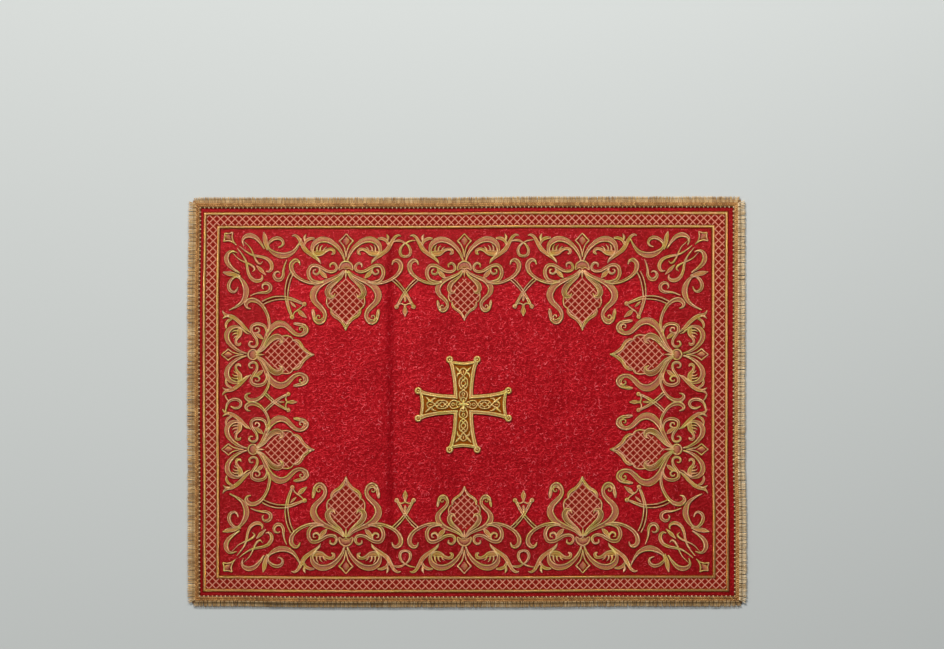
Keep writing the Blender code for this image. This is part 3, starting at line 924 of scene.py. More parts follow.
# The fruit of a palmette: half its width at heights up from the collar.
FRUIT = (
    (13.4, 0.4), (17, 4.6), (21, 10.6), (26, 15), (33, 18.8), (38.4, 19.8),
    (42.4, 17.8), (45.6, 14.4), (49, 14), (52.4, 11), (56, 5.6), (62, 0.8),
)
FRUIT_MIDDLE = 41.1
NET_PITCH = 7.85
NET_HALF = 0.55
NET_REACH = 30.0
NET_LINES = 15
NET_SAMPLE = 0.25
FEWEST_SAMPLES = 6
SAMPLES_A_POINT = 12
CELL_HALF = 2.2
CELL_INSET = 1.4

# Where the palmettes sit, and how the smaller ones and those of the ends are stretched across and up.
PATTERN_X = -2.8
BORDER_SHIFT = -1.2
BIG_APART = 127.0
SIDE_APART = 51.0
INNER_REACH = 0.84
BIG = {"spine": SPINE, "collar": COLLAR}
SMALL = {**BIG, "crown": (0.83, 0.85), "neck": (0.98, 0.93)}
AT_END = {"spine": END_SPINE, "collar": END_COLLAR, "foot": (0.82, 0.94)}
LEFT = {**AT_END, "crown": (1.0, 0.97), "neck": (0.95, 1.0)}
RIGHT = {**AT_END, "crown": (1.03, 1.06)}
END_MIDDLE = {"left": (1.0, 1.0), "right": (1.0, 1.08)}
ACROSS = ((-1, 0), (0, 1))
DIAGONAL = ((0, 1), (1, 0))

# For each side: the matrix from (u, v) to the cloth, and the middle of its collars' line.
FRAMES = {
    "bottom": (((1, 0), (0, 1)), (PATTERN_X, -148.6)),
    "top": (((1, 0), (0, -1)), (PATTERN_X, 145.8)),
    "left": (((0, 1), (1, 0)), (-230.2, 0.0)),
    "right": (((0, -1), (1, 0)), (226.8, 0.0)),
}


class Work:
    """The strokes gathered for one side, by kind."""

    def __init__(self, frame):
        self.frame = frame
        self.strokes = {kind: [] for kind in KINDS}
        self.knobs = []
        self.cells = []

    def take(self, motif, stretch=(1.0, 1.0), shift=0.0, sides=(1, -1), mirror=ACROSS, frame=None):
        """Adds a motif, stretched and shifted in its own frame. mirror is the matrix of its other half."""
        slim = (stretch[0] + stretch[1]) / 2
        for kind, both, rows in motif:
            rows = [(u * stretch[0], v * stretch[1], width * slim) for u, v, width in rows]
            path = rows if kind == "knob" else smooth_path(rows)
            for side in sides if both else (1,):
                half = path if side > 0 else placed(path, mirror)
                half = placed(shifted(half, shift), *(frame or self.frame))
                if kind == "knob":
                    self.knobs += half
                else:
                    self.strokes[kind].append(half)

    def take_fruit(self, crown, shift):
        """The ground, the net and the painted shade spots in the net's cells of a palmette whose crown is
        stretched so.
        """
        middle = FRUIT_MIDDLE * crown[1]
        heights, widths = zip(*((height * crown[1], width * crown[0]) for height, width in FRUIT))
        ground = [(0.0, height, width) for height, width in zip(heights, widths)]
        self.take((("ground", False, ground),), shift=shift)
        for stroke in net_strokes(heights, widths, middle):
            self.strokes["net"].append(placed(shifted(stroke, shift), *self.frame))

        def in_fruit(x, y):
            return abs(x) < np.interp(y + middle, heights, widths, 0.0, 0.0) - CELL_INSET

        cells = net_cells(6, 9, NET_PITCH, in_fruit)
        self.cells += placed(shifted(cells, shift, middle), *self.frame)

    def take_palmette(self, shift, spine, collar, crown=(1.0, 1.0), neck=(1.0, 1.0), foot=(1.0, 1.0),
                      reaches=(1.0, 1.0)):
        """A palmette. neck stretches its necks, and reaches its stem and spine towards +u and -u."""
        self.take(CROWN, crown, shift)
        self.take(NECK, (crown[0] * neck[0], crown[1] * neck[1]), shift)
        self.take(FOOT, foot, shift)
        self.take(collar, shift=shift)
        for side, reach in zip((1, -1), reaches):
            self.take(STEM, (reach, 1.0), shift, (side,))
            self.take(spine, ((1 + reach) / 2, 1.0), shift, (side,))
        self.take_fruit(crown, shift)

    def take_long_side(self, rise):
        """Palmettes, what lies between them, and corners. rise is 1 at the bottom and -1 at the top."""
        for shift, looks in ((-BIG_APART, BIG), (BIG_APART, BIG), (0.0, SMALL)):
            self.take_palmette(shift, **looks)
        for shift in (-BIG_APART / 2, BIG_APART / 2):
            self.take(MIDWAY, shift=shift)
        for side in (-1, 1):
            corner = (side * FIELD_HALF_X / MM + BORDER_SHIFT, -rise * FIELD_HALF_Y / MM)
            self.take(CORNER, mirror=DIAGONAL, frame=(((-side, 0), (0, rise)), corner))

    def take_end(self, looks, middle):
        """The two palmettes of an end and what lies between them."""
        self.take_palmette(-SIDE_APART, reaches=(INNER_REACH, 1.0), **looks)
        self.take_palmette(SIDE_APART, reaches=(1.0, INNER_REACH), **looks)
        self.take(END_MIDWAY, middle)


def net_cells(columns, rows, pitch, inside):
    """A round spot of painted shade in the middle of each cell of a diagonal net for which inside(x, y) is
    true.
    """
    spots = []
    for column in range(-columns, columns + 1):
        for row in range(-rows, rows + 1):
            x, y = column * pitch / 2, row * pitch / 2
            if (column + row) % 2 == 0 and inside(x, y):
                spots.append((x, y, CELL_HALF))
    return spots


def net_strokes(heights, widths, middle):
    """The threads of a diagonal net inside an outline that is the same on both sides of the axis."""
    strokes = []
    run = np.arange(-NET_REACH, NET_REACH + 0.1, NET_SAMPLE)
    for index in range(-NET_LINES, NET_LINES + 1, 2):
        centre = middle + index * NET_PITCH / 2
        inside = np.abs(run) < np.interp(centre + run, heights, widths, 0.0, 0.0)
        found = np.flatnonzero(inside)
        if len(found) < FEWEST_SAMPLES:
            continue
        places = np.linspace(run[found[0]], run[found[-1]], max(3, len(found) // SAMPLES_A_POINT))
        for side in (1, -1):
            strokes.append([(side * x, centre + x, NET_HALF) for x in places])
    return strokes


def side_work(name):
    """All strokes of one side."""
    work = Work(FRAMES[name])
    if name in ("bottom", "top"):
        work.take_long_side(1 if name == "bottom" else -1)
    else:
        work.take_end(LEFT if name == "left" else RIGHT, END_MIDDLE[name])
    return work


# Low round knobs, each a dome worked in rings of stitches: rows (share of the radius, share of the height).
DOME = ((1.0, -0.2), (0.96, 0.3), (0.75, 0.72), (0.4, 0.95))
KNOB_HEIGHT = 1.1
KNOB_FACETS = 12
# Low dark domes of painted shade in the nets' cells: their heights and facets.
FRUIT_CELL_SHADE = 0.38
BORDER_CELL_SHADE = 0.34
CELL_SHADE_FACETS = 8


def knob_object(name, knobs, material, height, facets=KNOB_FACETS):
    """A dome at each row (x, y, radius) in millimetres."""
    turns = TURN * np.arange(facets) / facets
    dome = [(reach * math.cos(turn), reach * math.sin(turn), up) for reach, up in DOME for turn in turns]
    dome = np.array(dome + [(0.0, 0.0, 1.0)])
    last = (len(DOME) - 1) * facets
    faces = ring_faces(len(DOME), facets)
    faces += [(last + step, last + (step + 1) % facets, len(dome) - 1) for step in range(facets)]
    faces.append(tuple(range(facets))[::-1])
    points = []
    all_faces = []
    for x, y, size in knobs:
        all_faces += [[len(points) + corner for corner in face] for face in faces]
        points += (dome * (size * MM, size * MM, height * MM) + (x * MM, y * MM, CLOTH)).tolist()
    stitches = [(x, 0.0) for x, _, _ in points]
    return mesh_object(name, points, all_faces, [material], stitches=stitches)


# Pieces
PANEL_STEP = 4.3 * MM
FINE_LINES = 13
FINE_SHARE = 0.86


def dressed(piece, replaced=None):
    """Puts a piece on the body, in place of the node that it replaces."""
    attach(piece, "root")
    if replaced:
        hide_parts(replaced)
    return piece


def panel_lines():
    """Lines of the panel's grid, closer where the valley of the fold is steep."""
    low, high = VALLEY_X - VALLEY_BAND, VALLEY_X + VALLEY_BAND
    left = np.linspace(-PANEL_HALF_X, low, round((VALLEY_X + PANEL_HALF_X) / PANEL_STEP))
    fine = VALLEY_X + VALLEY_BAND * np.linspace(-FINE_SHARE, FINE_SHARE, FINE_LINES)
    right = np.linspace(high, PANEL_HALF_X, round((PANEL_HALF_X - VALLEY_X) / PANEL_STEP))
    lines_y = np.linspace(-PANEL_HALF_Y, PANEL_HALF_Y, round(2 * PANEL_HALF_Y / PANEL_STEP))
    return np.concatenate([left, fine, right]), lines_y


def make_panel(brocade, reverse):
    """The cloth: a closed sheet with the brocade above, its plain reverse below and its hem turned in."""
    x, y = np.meshgrid(*panel_lines(), indexing="ij")
    inside = np.minimum(PANEL_HALF_X - np.abs(x), PANEL_HALF_Y - np.abs(y))
    under = HEM_STEP * smooth((inside - HEM_WIDTH) / SOFT_EDGE)
    sheets = [np.stack([x, y, z], axis=-1).reshape(-1, 3) for z in (np.full(x.shape, CLOTH), under)]
    index = np.arange(x.size).reshape(x.shape)
    top = np.stack([index[:-1, :-1], index[1:, :-1], index[1:, 1:], index[:-1, 1:]], axis=-1).reshape(-1, 4)
    rim = np.concatenate([index[:, 0], index[-1, 1:], index[-2::-1, -1], index[0, -2:0:-1]])
    after = np.roll(rim, -1)
    sides = np.stack([rim + x.size, after + x.size, after, rim], axis=-1)
    faces = np.concatenate([top, top[:, ::-1] + x.size, sides])
    slots = np.zeros(len(faces), np.int32)
    slots[len(top):2 * len(top)] = 1
    points = np.concatenate(sheets).tolist()
    panel = mesh_object("brocade_panel", points, faces.tolist(), [brocade, reverse], slots)
    panel.data.set_sharp_from_angle(angle=math.radians(50))
    lay_on_cloth(panel.data)
    return panel


# The profile of a band: rows (share of its half width, share of its height), and its step along.
BAND_PROFILE = (
    (-1.0, -0.2), (-0.92, 0.4), (-0.55, 0.85), (0.0, 1.0), (0.55, 0.85), (0.92, 0.4), (1.0, -0.2),
)
BAND_STEP = 4 * MM


def make_band(name, inset, width, height, shift, material, rounded):
    """A domed band round the cloth with mitred corners, so far inside the heading's inner edge."""
    half_x, half_y = HEADING_HALF_X - HEADING - inset, HEADING_HALF_Y - HEADING - inset
    counts = (round(2 * half_x / BAND_STEP), round(2 * half_y / BAND_STEP))
    points = []
    stitches = []
    for across, crest in BAND_PROFILE:
        wide_x, wide_y = half_x + across * width / 2, half_y + across * width / 2
        corners = ((-wide_x, -wide_y), (wide_x, -wide_y), (wide_x, wide_y), (-wide_x, wide_y))
        run = 0.0
        for side, (start, end) in enumerate(zip(corners, corners[1:] + corners[:1])):
            length = 2 * (half_x, half_y)[side % 2]
            for share in np.arange(counts[side % 2]) / counts[side % 2]:
                x = start[0] + (end[0] - start[0]) * share + shift
                y = start[1] + (end[1] - start[1]) * share
                points.append((x, y, CLOTH + crest * height))
                stitches.append((run + length * share, across))
            run += length
    faces = ring_faces(len(BAND_PROFILE), 2 * sum(counts), closed=True)
    band = mesh_object(name, points, faces, [material], stitches=stitches, flip=True, rounded=rounded)
    lay_on_cloth(band.data)
    return band


# How far inside the heading's inner edge the middle of each band runs.
AT_OUTER_RAIL = MARGIN + RAIL / 2
AT_NET = MARGIN + RAIL + LATTICE / 2
AT_INNER_RAIL = MARGIN + 1.5 * RAIL + LATTICE
RAIL_WORK = RAIL - 0.3 * MM
RAIL_SHADE_WIDTH = RAIL + 1.3 * MM
NET_SHIFT = BORDER_SHIFT * MM

# Bands: name, where it runs, width, height, shift along X, material and whether it is shaded round.
BANDS = (
    ("outer_rail", AT_OUTER_RAIL, RAIL_WORK, 1.05 * MM, NET_SHIFT, "rail_satin", True),
    ("inner_rail", AT_INNER_RAIL, RAIL_WORK, 1.05 * MM, NET_SHIFT, "rail_satin", True),
    # The cloth under the border's net, darker with painted shade between its threads.
    ("net_ground", AT_NET, LATTICE, 0.24 * MM, NET_SHIFT, "net_cloth", False),
    # Painted shade: dark strips along both rails and at the heading's inner edge.
    ("outer_seam", AT_OUTER_RAIL, RAIL_SHADE_WIDTH, 0.3 * MM, NET_SHIFT, "drawn_cloth", False),
    ("inner_seam", AT_INNER_RAIL, RAIL_SHADE_WIDTH, 0.3 * MM, NET_SHIFT, "drawn_cloth", False),
    ("heading_seam", 0.0, 1.8 * MM, 0.22 * MM, 0.0, "drawn_cloth", False),
)

# The net between the rails, in millimetres.
BORDER_PITCH = 7.9
BORDER_HALF = 0.54
BORDER_LINES = 90
SHORTEST_THREAD = 1.2
THREAD_STEP = 3.0
BORDER_THREAD = {"Facets": 6, "Lift": 0.35 * MM, "Rise": 0.4, "Base": CLOTH + 0.1 * MM}


def net_spans(distance, outer, inner):
    """The spans of x where the line x - y = distance lies between two rectangles (half width, half depth)."""
    low, high = max(distance - outer[1], -outer[0]), min(distance + outer[1], outer[0])
    hole_low, hole_high = max(distance - inner[1], -inner[0]), min(distance + inner[1], inner[0])
    if high <= low:
        return []
    spans = [(low, high)] if hole_high <= hole_low else [(low, hole_low), (hole_high, high)]
    return [(start, end) for start, end in spans if end - start >= SHORTEST_THREAD]


def border_net():
    """(strokes, painted shade spots in the cells) of the diagonal net between the two rails."""
    outside = HEADING + MARGIN + RAIL
    outer = ((HEADING_HALF_X - outside) / MM, (HEADING_HALF_Y - outside) / MM)
    inner = (outer[0] - LATTICE / MM, outer[1] - LATTICE / MM)
    pitch = 2 * inner[0] / round(2 * inner[0] / BORDER_PITCH)
    strokes = []
    for slope in (1, -1):
        for index in range(-BORDER_LINES, BORDER_LINES + 1):
            distance = (index + 0.5) * pitch
            for start, end in net_spans(distance, outer, inner):
                places = np.linspace(start, end, max(2, round((end - start) / THREAD_STEP)) + 1)
                strokes.append([(x + BORDER_SHIFT, slope * (x - distance), BORDER_HALF) for x in places])

    def in_band(x, y):
        return abs(x) < outer[0] and abs(y) < outer[1] and (abs(x) > inner[0] or abs(y) > inner[1])

    return strokes, shifted(net_cells(80, 60, pitch, in_band), BORDER_SHIFT)


def make_border(looks, threads):
    """The rails with painted shade along their edges, and the net between them with painted shade in its
    cells.
    """
    pieces = [make_band(*sizes, looks[material], rounded) for *sizes, material, rounded in BANDS]
    strokes, cells = border_net()
    thread = looks["lattice_thread"]
    net = grow(curve_object("net", metres(strokes)), threads, Material=thread, **BORDER_THREAD)
    # Painted shade: a low dark dome in each cell of the border's net.
    openings = knob_object("openings", cells, looks["net_opening"], BORDER_CELL_SHADE, CELL_SHADE_FACETS)
    pieces.append(joined("border_net", [net, openings]))
    lay_on_cloth(net.data)
    return [dressed(piece) for piece in pieces]


# How each filling is worked: its material and its thread's values.
FILLINGS = {
    "gold": ("gold_satin", {"Lift": 0.6 * MM, "Rise": 0.5}),
    "shading": ("shading_thread", {"Lift": 0.3 * MM, "Rise": 0.08}),
    "gilt": ("gilt_fill", {"Lift": 0.4 * MM, "Rise": 0.1}),
    "olive": ("olive_fill", {"Lift": 0.4 * MM, "Rise": 0.1}),
    # The ground under the fruits' nets and in the sprigs' buds, darker with painted shade.
    "ground": (
        "net_cloth",
        {"Facets": 16, "Lift": 0.22 * MM, "Rise": 0.0, "Base": CLOTH + 0.06 * MM, "Rounded": False},
    ),
    "net": ("lattice_thread", {"Facets": 6, "Lift": 0.3 * MM, "Rise": 0.3, "Base": CLOTH + 0.1 * MM}),
}
# Values of the low flat ribbons of painted shade round the strokes.
SHADE_RIBBON = {"Facets": 4, "Rise": 0.0, "Rounded": False}


def make_side(side, looks, threads, edges):
    """The embroidery of one side: its gold, and the shaded work with the nets, with painted shade round the
    strokes and in the net's cells.
    """
    work = side_work(side)
    work.strokes["gold"] += [ring_stroke(*knob) for knob in work.knobs]
    gold, shade_look = looks["gold_satin"], looks["drawn_cloth"]
    raised = []
    flat = []
    drawn = []
    for kind, (filling, strong, fine) in KINDS.items():
        strokes = metres(work.strokes[kind])
        if not strokes:
            continue
        if filling:
            material, values = FILLINGS[filling]
            shown = raised if filling == "gold" else flat
            shown.append(grow(curve_object(kind, strokes), threads, Material=looks[material], **values))
        if strong:
            curve = curve_object(kind + "_cords", strokes)
            raised.append(grow(curve, edges, Strong=strong * MM, Fine=fine * MM, Material=gold))
        if strong or kind == "gold":
            drawn += strokes
    if work.knobs:
        raised.append(knob_object("knobs", work.knobs, looks["gilt_fill"], KNOB_HEIGHT))
    # Painted shade: a low dark dome in each cell of the fruits' nets.
    cell_shade_look = looks["net_opening"]
    flat.append(knob_object("openings", work.cells, cell_shade_look, FRUIT_CELL_SHADE, CELL_SHADE_FACETS))
    # Painted shade: a dark ribbon a little wider than each gold stroke and cord, lying under it.
    curve = curve_object("drawn", drawn)
    flat.append(grow(curve, threads, Lift=0.16 * MM, Spread=0.5 * MM, Material=shade_look, **SHADE_RIBBON))
    pieces = [joined("gold_work_" + side, raised), joined("shaded_work_" + side, flat)]
    for piece in pieces:
        lay_on_cloth(piece.data)
        dressed(piece)
    return pieces


# The cross, one arm up from its centre: kind, whether it is mirrored, and rows (u, v, half width).
CROSS_CENTRE = (-3.8, -2.6)
CROSS_ARM = (
    ("bar", True, ((8.2, 6.2, 2.3), (8.2, 12, 2.2), (8.6, 20, 2.15), (9.7, 30, 2.15), (11.9, 41, 2.2),
        (14.4, 47.4, 2.3))),
    ("bar", False, ((11.4, 45.2, 1.7), (6, 44.2, 1.9), (0, 43.7, 1.9), (-6, 44.2, 1.9),
        (-11.4, 45.2, 1.7))),
    ("cord", True, ((0, 39.2, 0.7), (2.8, 37.4, 0.88), (3, 34.2, 0.88), (0, 30.4, 0.88), (-3.7, 27.2, 0.88),
        (-4.4, 23.2, 0.88), (-3.6, 18.8, 0.88), (0, 15.4, 0.88), (3.7, 12.8, 0.88), (4.2, 9.2, 0.88),
        (2.9, 5.8, 0.88))),
    ("cord", True, ((-3.2, 28.8, 0.7), (0, 26, 0.8), (2.2, 23.6, 0.8), (2.2, 21.8, 0.8), (0, 19.4, 0.8),
        (-3.2, 16.8, 0.7))),
    ("cord", True, ((0, 13, 0.6), (1.5, 11.2, 0.7), (0, 9.2, 0.6))),
    ("cord", True, ((0, 8.2, 0.7), (2.9, 5.2, 0.8), (0, 2.2, 0.8))),
    ("leaf", True, ((1.8, 34, 0.5), (4.4, 36.2, 1.5), (6.4, 38.4, 1.2), (8.4, 40.6, 0.3))),
    ("leaf", True, ((2.2, 33.8, 0.5), (5, 33.4, 1.4), (6.4, 31.4, 1.1), (6.6, 28.8, 0.3))),
    ("leaf", False, ((0, 33.6, 0.4), (0, 35.2, 0.8), (0, 36.8, 0.3))),
    ("leaf", False, ((0, -2, 0.4), (0, 2.2, 2.2), (0, 6.2, 0.3))),
)
CROSS_KNOB = (14.8, 48.4, 4.0)
CROSS_PAD = (
    (0, -45, 12.4), (0, -38, 11), (0, -28, 9.4), (0, -16, 8.4), (0, 0, 8.2),
    (0, 16, 8.4), (0, 28, 9.4), (0, 38, 11), (0, 45, 12.4),
)
CROSS_CORDS = {"Strong": 0.7 * MM, "Fine": 1.35 * MM}
PAD_TOP = 0.9 * MM
PAD_STEP = 2.0
BAR_BASE = CLOTH + 0.5 * MM
CORD_BASE = CLOTH + PAD_TOP
CROSS_KNOB_HEIGHT = 1.3
HEART_HEIGHT = 1.9
HEART_SHARE = 0.3


def cross_strokes():
    """(strokes of the cross by kind, its knobs), of one arm in each of its four turns."""
    kinds = {kind: [] for kind in ("bar", "cord", "leaf", "pad", "ring")}
    knobs = []
    for cosine, sine in ((1, 0), (0, 1), (-1, 0), (0, -1)):
        matrix = ((cosine, -sine), (sine, cosine))
        for kind, both, rows in CROSS_ARM:
            path = smooth_path(rows)
            for half in (path, placed(path, ACROSS)) if both else (path,):
                kinds[kind].append(placed(half, matrix, CROSS_CENTRE))
        u, v, size = CROSS_KNOB
        knobs += placed([(u, v, size), (-u, v, size)], matrix, CROSS_CENTRE)
    for matrix in (((1, 0), (0, 1)), ((0, -1), (1, 0))):
        kinds["pad"].append(placed(smooth_path(CROSS_PAD, PAD_STEP), matrix, CROSS_CENTRE))
    kinds["ring"] = [ring_stroke(*knob) for knob in knobs]
    return {kind: metres(strokes) for kind, strokes in kinds.items()}, knobs


def make_cross(looks, threads, edges):
    """The raised cross: a dark pad, corded bars and knobs round it, and cords knotted over it."""
    strokes, knobs = cross_strokes()
    gold, gilt, ground = looks["cross_satin"], looks["gilt_fill"], looks["cross_ground"]
    worked = (
        # Painted shade: a dark ribbon wider than each bar, lying under it.
        ("bar", threads, looks["drawn_cloth"], {"Lift": 0.2 * MM, "Spread": 0.8 * MM, **SHADE_RIBBON}),
        ("pad", threads, ground, {"Facets": 16, "Lift": PAD_TOP, "Rise": 0.0, "Rounded": False}),
        ("bar", threads, gilt, {"Base": BAR_BASE}),
        ("bar", edges, gold, {"Facets": 8, "Rise": 0.6, "Base": BAR_BASE, **CROSS_CORDS}),
        ("cord", threads, gold, {"Facets": 6, "Lift": 0.35 * MM, "Rise": 0.7, "Base": CORD_BASE}),
        ("leaf", threads, gold, {"Lift": 0.35 * MM, "Rise": 0.45, "Base": CORD_BASE}),
        ("ring", threads, gold, {"Lift": 0.7 * MM, "Rise": 0.55, "Base": BAR_BASE}),
    )
    pieces = [
        grow(curve_object(kind, strokes[kind]), tree, Material=material, **values)
        for kind, tree, material, values in worked
    ]
    hearts = [(x, y, HEART_SHARE * size) for x, y, size in knobs]
    pieces.append(knob_object("knobs", knobs, ground, CROSS_KNOB_HEIGHT))
    pieces.append(knob_object("knob_hearts", hearts, gold, HEART_HEIGHT))
    cross = joined("cross_work", pieces)
    lay_on_cloth(cross.data)
    return cross


# Trims: a woven heading sewn along the edge, with short locks of yarn. Sizes in millimetres.
LOCK_PITCH = 4.6
YARNS_IN_LOCK = 3
YARN_APART = 1.28
GRAIN_PITCH = 2.3
STRIP_STEP = 4.0
STITCH_SIZES = (1.75, 0.8, 0.62)
STITCH_HEIGHT = 2.95
STITCH_GAP = 0.8
BEAD_SIZES = (1.0, 0.75, 0.7)
BEAD_HEIGHT = 2.75
BEAD_INSET = 0.15
ROOT_INSET = 0.1
END_GAP = 0.6
SPLAYED = 8.0
FACETS = 6

# A yarn of a lock: rows (share of its length, height above the surface, radius).
YARN = (
    (-0.14, 2.7, 0.42),
    (-0.02, 2.9, 0.62),
    (0.10, 2.75, 0.68),
    (0.24, 2.35, 0.54),
    (0.42, 2.0, 0.50),
    (0.60, 1.85, 0.52),
    (0.80, 1.8, 0.56),
    (1.0, 1.8, 0.60),
)
YARN_TWIST = 0.62
YARN_LOBE = 0.22

# A rice-shaped stitch: rows (place along its half length, share of its size).
GRAIN = ((-1.0, 0.25), (-0.6, 0.8), (0.0, 1.0), (0.6, 0.8), (1.0, 0.25))

# The heading's cross-section and the apron under its locks: rows (out from the heading's edge, height).
STRIP = ((-5.5, 1.9), (0.0, 1.9), (0.2, 1.5), (2.6, 1.0), (2.6, 1.4), (0.3, 2.2), (0.0, 2.75),
         (-0.5, 2.9), (-5.0, 2.9), (-5.5, 2.75))

# The two rows of stitches on the heading: how far inside its edge, their lean, what they add to the tone.
HEADING_ROWS = ((1.5, 0.62, 0.1), (3.5, -0.62, 0.0))


def yarn_object(length):
    """A yarn of two plies along +Y, its root on the origin's line."""
    points = []
    for ring, (share, height, radius) in enumerate(YARN):
        for step in range(FACETS):
            angle = TURN * step / FACETS + ring * YARN_TWIST
            reach = radius * (1.0 + YARN_LOBE * (1 if step % 3 == 0 else -0.5))
            x, z = reach * math.cos(angle), height + reach * math.sin(angle)
            points.append((x * MM, share * length, z * MM))
    return mesh_object("yarn", points, capped_faces(len(YARN), FACETS), flip=True)


def grain_object(half_length, half_width, height):
    """A low rice-shaped stitch along X."""
    points = []
    for along, size in GRAIN:
        for angle in TURN * np.arange(FACETS) / FACETS:
            y, z = size * half_width * math.cos(angle), size * height * math.sin(angle)
            points.append((along * half_length * MM, y * MM, z * MM))
    return mesh_object("grain", points, capped_faces(len(GRAIN), FACETS))


def heading_strip(heading_half, half_length, materials):
    """The woven strip below the heading's stitches, with mitred ends, in short pieces."""
    count = round(2 * half_length / STRIP_STEP)
    points = []
    for share in np.linspace(-1.0, 1.0, count + 1):
        for beyond, height in STRIP:
            points.append((share * (half_length + beyond) * MM, (heading_half + beyond) * MM, height * MM))
    faces = capped_faces(count + 1, len(STRIP))
    slots = [int(np.mean([points[corner][1] for corner in face]) > heading_half * MM) for face in faces]
    return mesh_object("strip", points, faces, materials, slots, flip=True)


def row_of(piece, tree, reach, beyond, height, **values):
    """Copies of a piece along the line of this half length, so far along Y and so high, in millimetres."""
    line = curve_object("row", metres([[(-reach, beyond, 1.0), (reach, beyond, 1.0)]]), height * MM)
    return grow(line, tree, Piece=piece, **values)


def make_trim(name, outward, heading_half, half_length, lock, looks, tree, seed, shade, woven):
    """One side's trim, made along X with its locks towards +Y, then turned and laid on the cloth."""
    heading_half, half_length = heading_half / MM, half_length / MM
    yarn = yarn_object(lock)
    grain = grain_object(*STITCH_SIZES)
    bead = grain_object(*BEAD_SIZES)
    yarn_look, heading_look = looks["lock_yarn"], looks["heading_yarn"]
    pieces = [heading_strip(heading_half, half_length, [looks["heading_strip"], looks["apron_yarn"]])]
    for inward, lean, floor in HEADING_ROWS:
        reach = half_length - inward - STITCH_GAP
        count = round(2 * reach / GRAIN_PITCH) + 1
        # Painted light: the heading's tone on each side is raised or lowered for how the light falls on it.
        pieces.append(row_of(
            grain, tree, reach, heading_half - inward, STITCH_HEIGHT, Count=count, Lean=lean,
            Turn_spread=0.12, Height_spread=0.25, Tone_floor=floor + woven, Seed=seed,
            Material=heading_look,
        ))
    inner = HEADING / MM
    reach = half_length - inner
    count = round(2 * reach / LOCK_PITCH) + 1
    pieces.append(row_of(
        bead, tree, reach, heading_half - inner + BEAD_INSET, BEAD_HEIGHT, Count=count, Lean=math.pi / 2,
        Turn_spread=0.35, Tone_floor=0.35, Seed=seed + 1, Material=yarn_look,
    ))
    yarns = round(2 * half_length / LOCK_PITCH) * YARNS_IN_LOCK
    pitch = LOCK_PITCH / YARNS_IN_LOCK
    reach = min((yarns - 1) * pitch / 2, half_length - END_GAP)
    # Painted light: the locks' tone floor makes each side's fringe lighter or darker for how the light falls
    # on it.
    pieces.append(row_of(
        yarn, tree, reach, heading_half - ROOT_INSET, 0.0, Count=yarns, Bunch=YARNS_IN_LOCK,
        Draw_in=(pitch - YARN_APART) * MM, Fan=0.03, Splay=55.0, Splay_from=(reach - SPLAYED) * MM,
        Turn_spread=0.05, Length_spread=0.05, Height_spread=0.1, Tone_floor=shade, Seed=seed + 2,
        Material=yarn_look,
    ))
    for used in (yarn, grain, bead):
        bpy.data.meshes.remove(used.data)
    trim = joined(name, pieces)
    turn = math.atan2(outward[1], outward[0]) - math.pi / 2
    trim.data.transform(Matrix.Rotation(turn, 4, "Z"))
    lay_on_cloth(trim.data, settle=fold_share)
    trim.data.shade_smooth()
    return trim


def fold_share(x, y):
    """1 on the cloth, falling to 0 where the locks reach the surface."""
    beyond = np.maximum(np.abs(x) - HEADING_HALF_X, np.abs(y) - HEADING_HALF_Y)
    return 1 - smooth(beyond / LOCK_FADE)


# For each side: its outward direction, the seed of its draws, and the tone of its locks and its heading,
# which is painted light: each side's trim is made lighter or darker for how the light falls on it.
TRIMS = (
    ("top", (0, 1), 11, -0.01, 0.1),
    ("bottom", (0, -1), 21, 0.03, -0.06),
    ("right", (1, 0), 31, 0.59, 0.3),
    ("left", (-1, 0), 41, 0.05, 0.06),
)


def make_trims(looks):
    """The four trims, each in place of a node."""
    tree = row_tree()
    trims = []
    for side, outward, seed, shade, woven in TRIMS:
        sizes = (HEADING_HALF_Y, HEADING_HALF_X, LOCK_LONG_SIDES)
        if side in ("left", "right"):
            sizes = (HEADING_HALF_X, HEADING_HALF_Y, LOCK_END_SIDES)
        trim = make_trim("trim_" + side, outward, *sizes, looks, tree, seed, shade, woven)
        trims.append(dressed(trim, "fringe_" + side))
    return trims


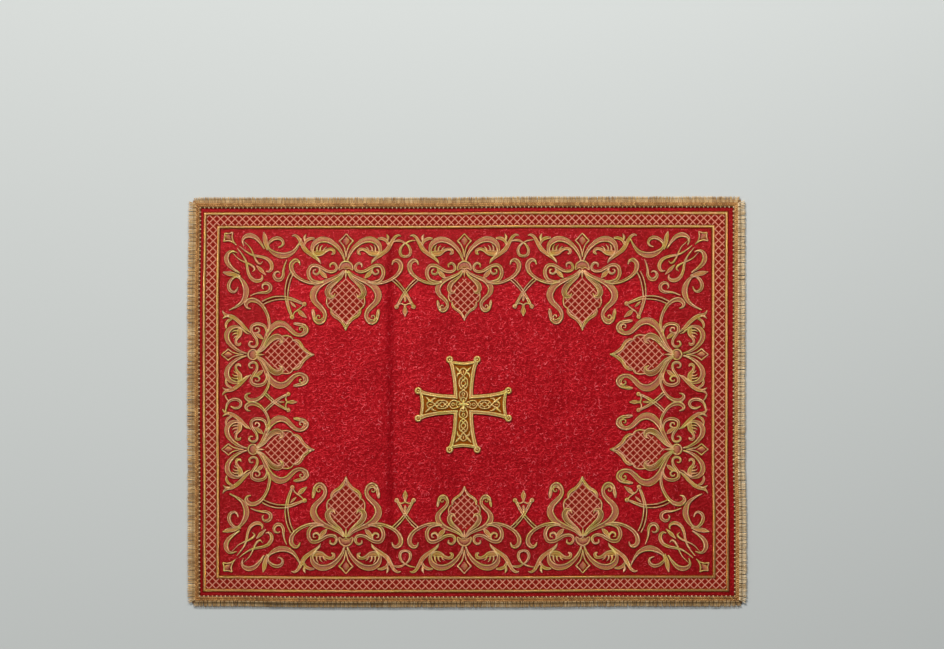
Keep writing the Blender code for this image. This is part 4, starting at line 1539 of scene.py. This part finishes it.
# Scene
PHOTO_WIDTH = 944
PIXEL = 1.073 * MM
FRAME_CENTRE = (5.4 * MM, 83.1 * MM)
CAMERA_HEIGHT = 2.5
SENSOR = 36.0
FLOOR_HALF = 4.0
AIR = (0.93, 0.96, 1.0, 1.0)
AIR_STRENGTH = 0.165

# Lights: name, place, size across, power and tint.
LIGHTS = (
    ("key", (-1.34, 2.88, 2.4), 0.7, 110.0, (1.0, 0.982, 0.955)),
    ("near", (0.4, 1.35, 1.3), 0.8, 16.0, (1.0, 1.0, 1.0)),
    ("left", (-3.2, 0.0, 1.7), 0.6, 18.0, (1.0, 1.0, 1.0)),
)


def make_floor(material):
    corners = [(x * FLOOR_HALF, y * FLOOR_HALF, 0.0) for x, y in ((-1, -1), (1, -1), (1, 1), (-1, 1))]
    floor = mesh_object("floor", corners, [(0, 1, 2, 3)], [material], rounded=False)


def make_light(name, place, size, power, tint):
    data = bpy.data.lights.new(name, "AREA")
    data.shape = "DISK"
    data.size = size
    data.energy = power
    data.color = tint
    light = new_object(name, data)
    light.location = place
    light.rotation_mode = "QUATERNION"
    light.rotation_quaternion = (-Vector(place)).to_track_quat("-Z", "Y")


def make_camera():
    """Straight above the middle of the photograph's frame, at the photograph's framing."""
    data = bpy.data.cameras.new("camera")
    data.sensor_width = SENSOR
    data.lens = SENSOR * CAMERA_HEIGHT / (PHOTO_WIDTH * PIXEL)
    data.clip_end = 20.0
    camera = new_object("camera", data)
    camera.location = (*FRAME_CENTRE, CAMERA_HEIGHT)
    bpy.context.scene.camera = camera


def make_world():
    world = bpy.data.worlds.new("room")
    world.use_nodes = True
    give(world.node_tree.nodes["Background"], {"Color": AIR, "Strength": AIR_STRENGTH})
    bpy.context.scene.world = world


def main():
    bpy.context.scene.view_settings.view_transform = "Standard"
    make_camera()
    make_world()
    for light in LIGHTS:
        make_light(*light)
    looks = all_surfaces()
    make_floor(looks["pale_ground"])
    threads, edges = thread_tree(), band_edge_tree()
    panel = dressed(make_panel(looks["red_brocade"], looks["red_reverse"]), "panel")
    on_cloth = make_border(looks, threads)
    for side in FRAMES:
        on_cloth += make_side(side, looks, threads, edges)
    on_cloth.append(dressed(make_cross(looks, threads, edges), "cross"))
    on_cloth += make_trims(looks)


main()
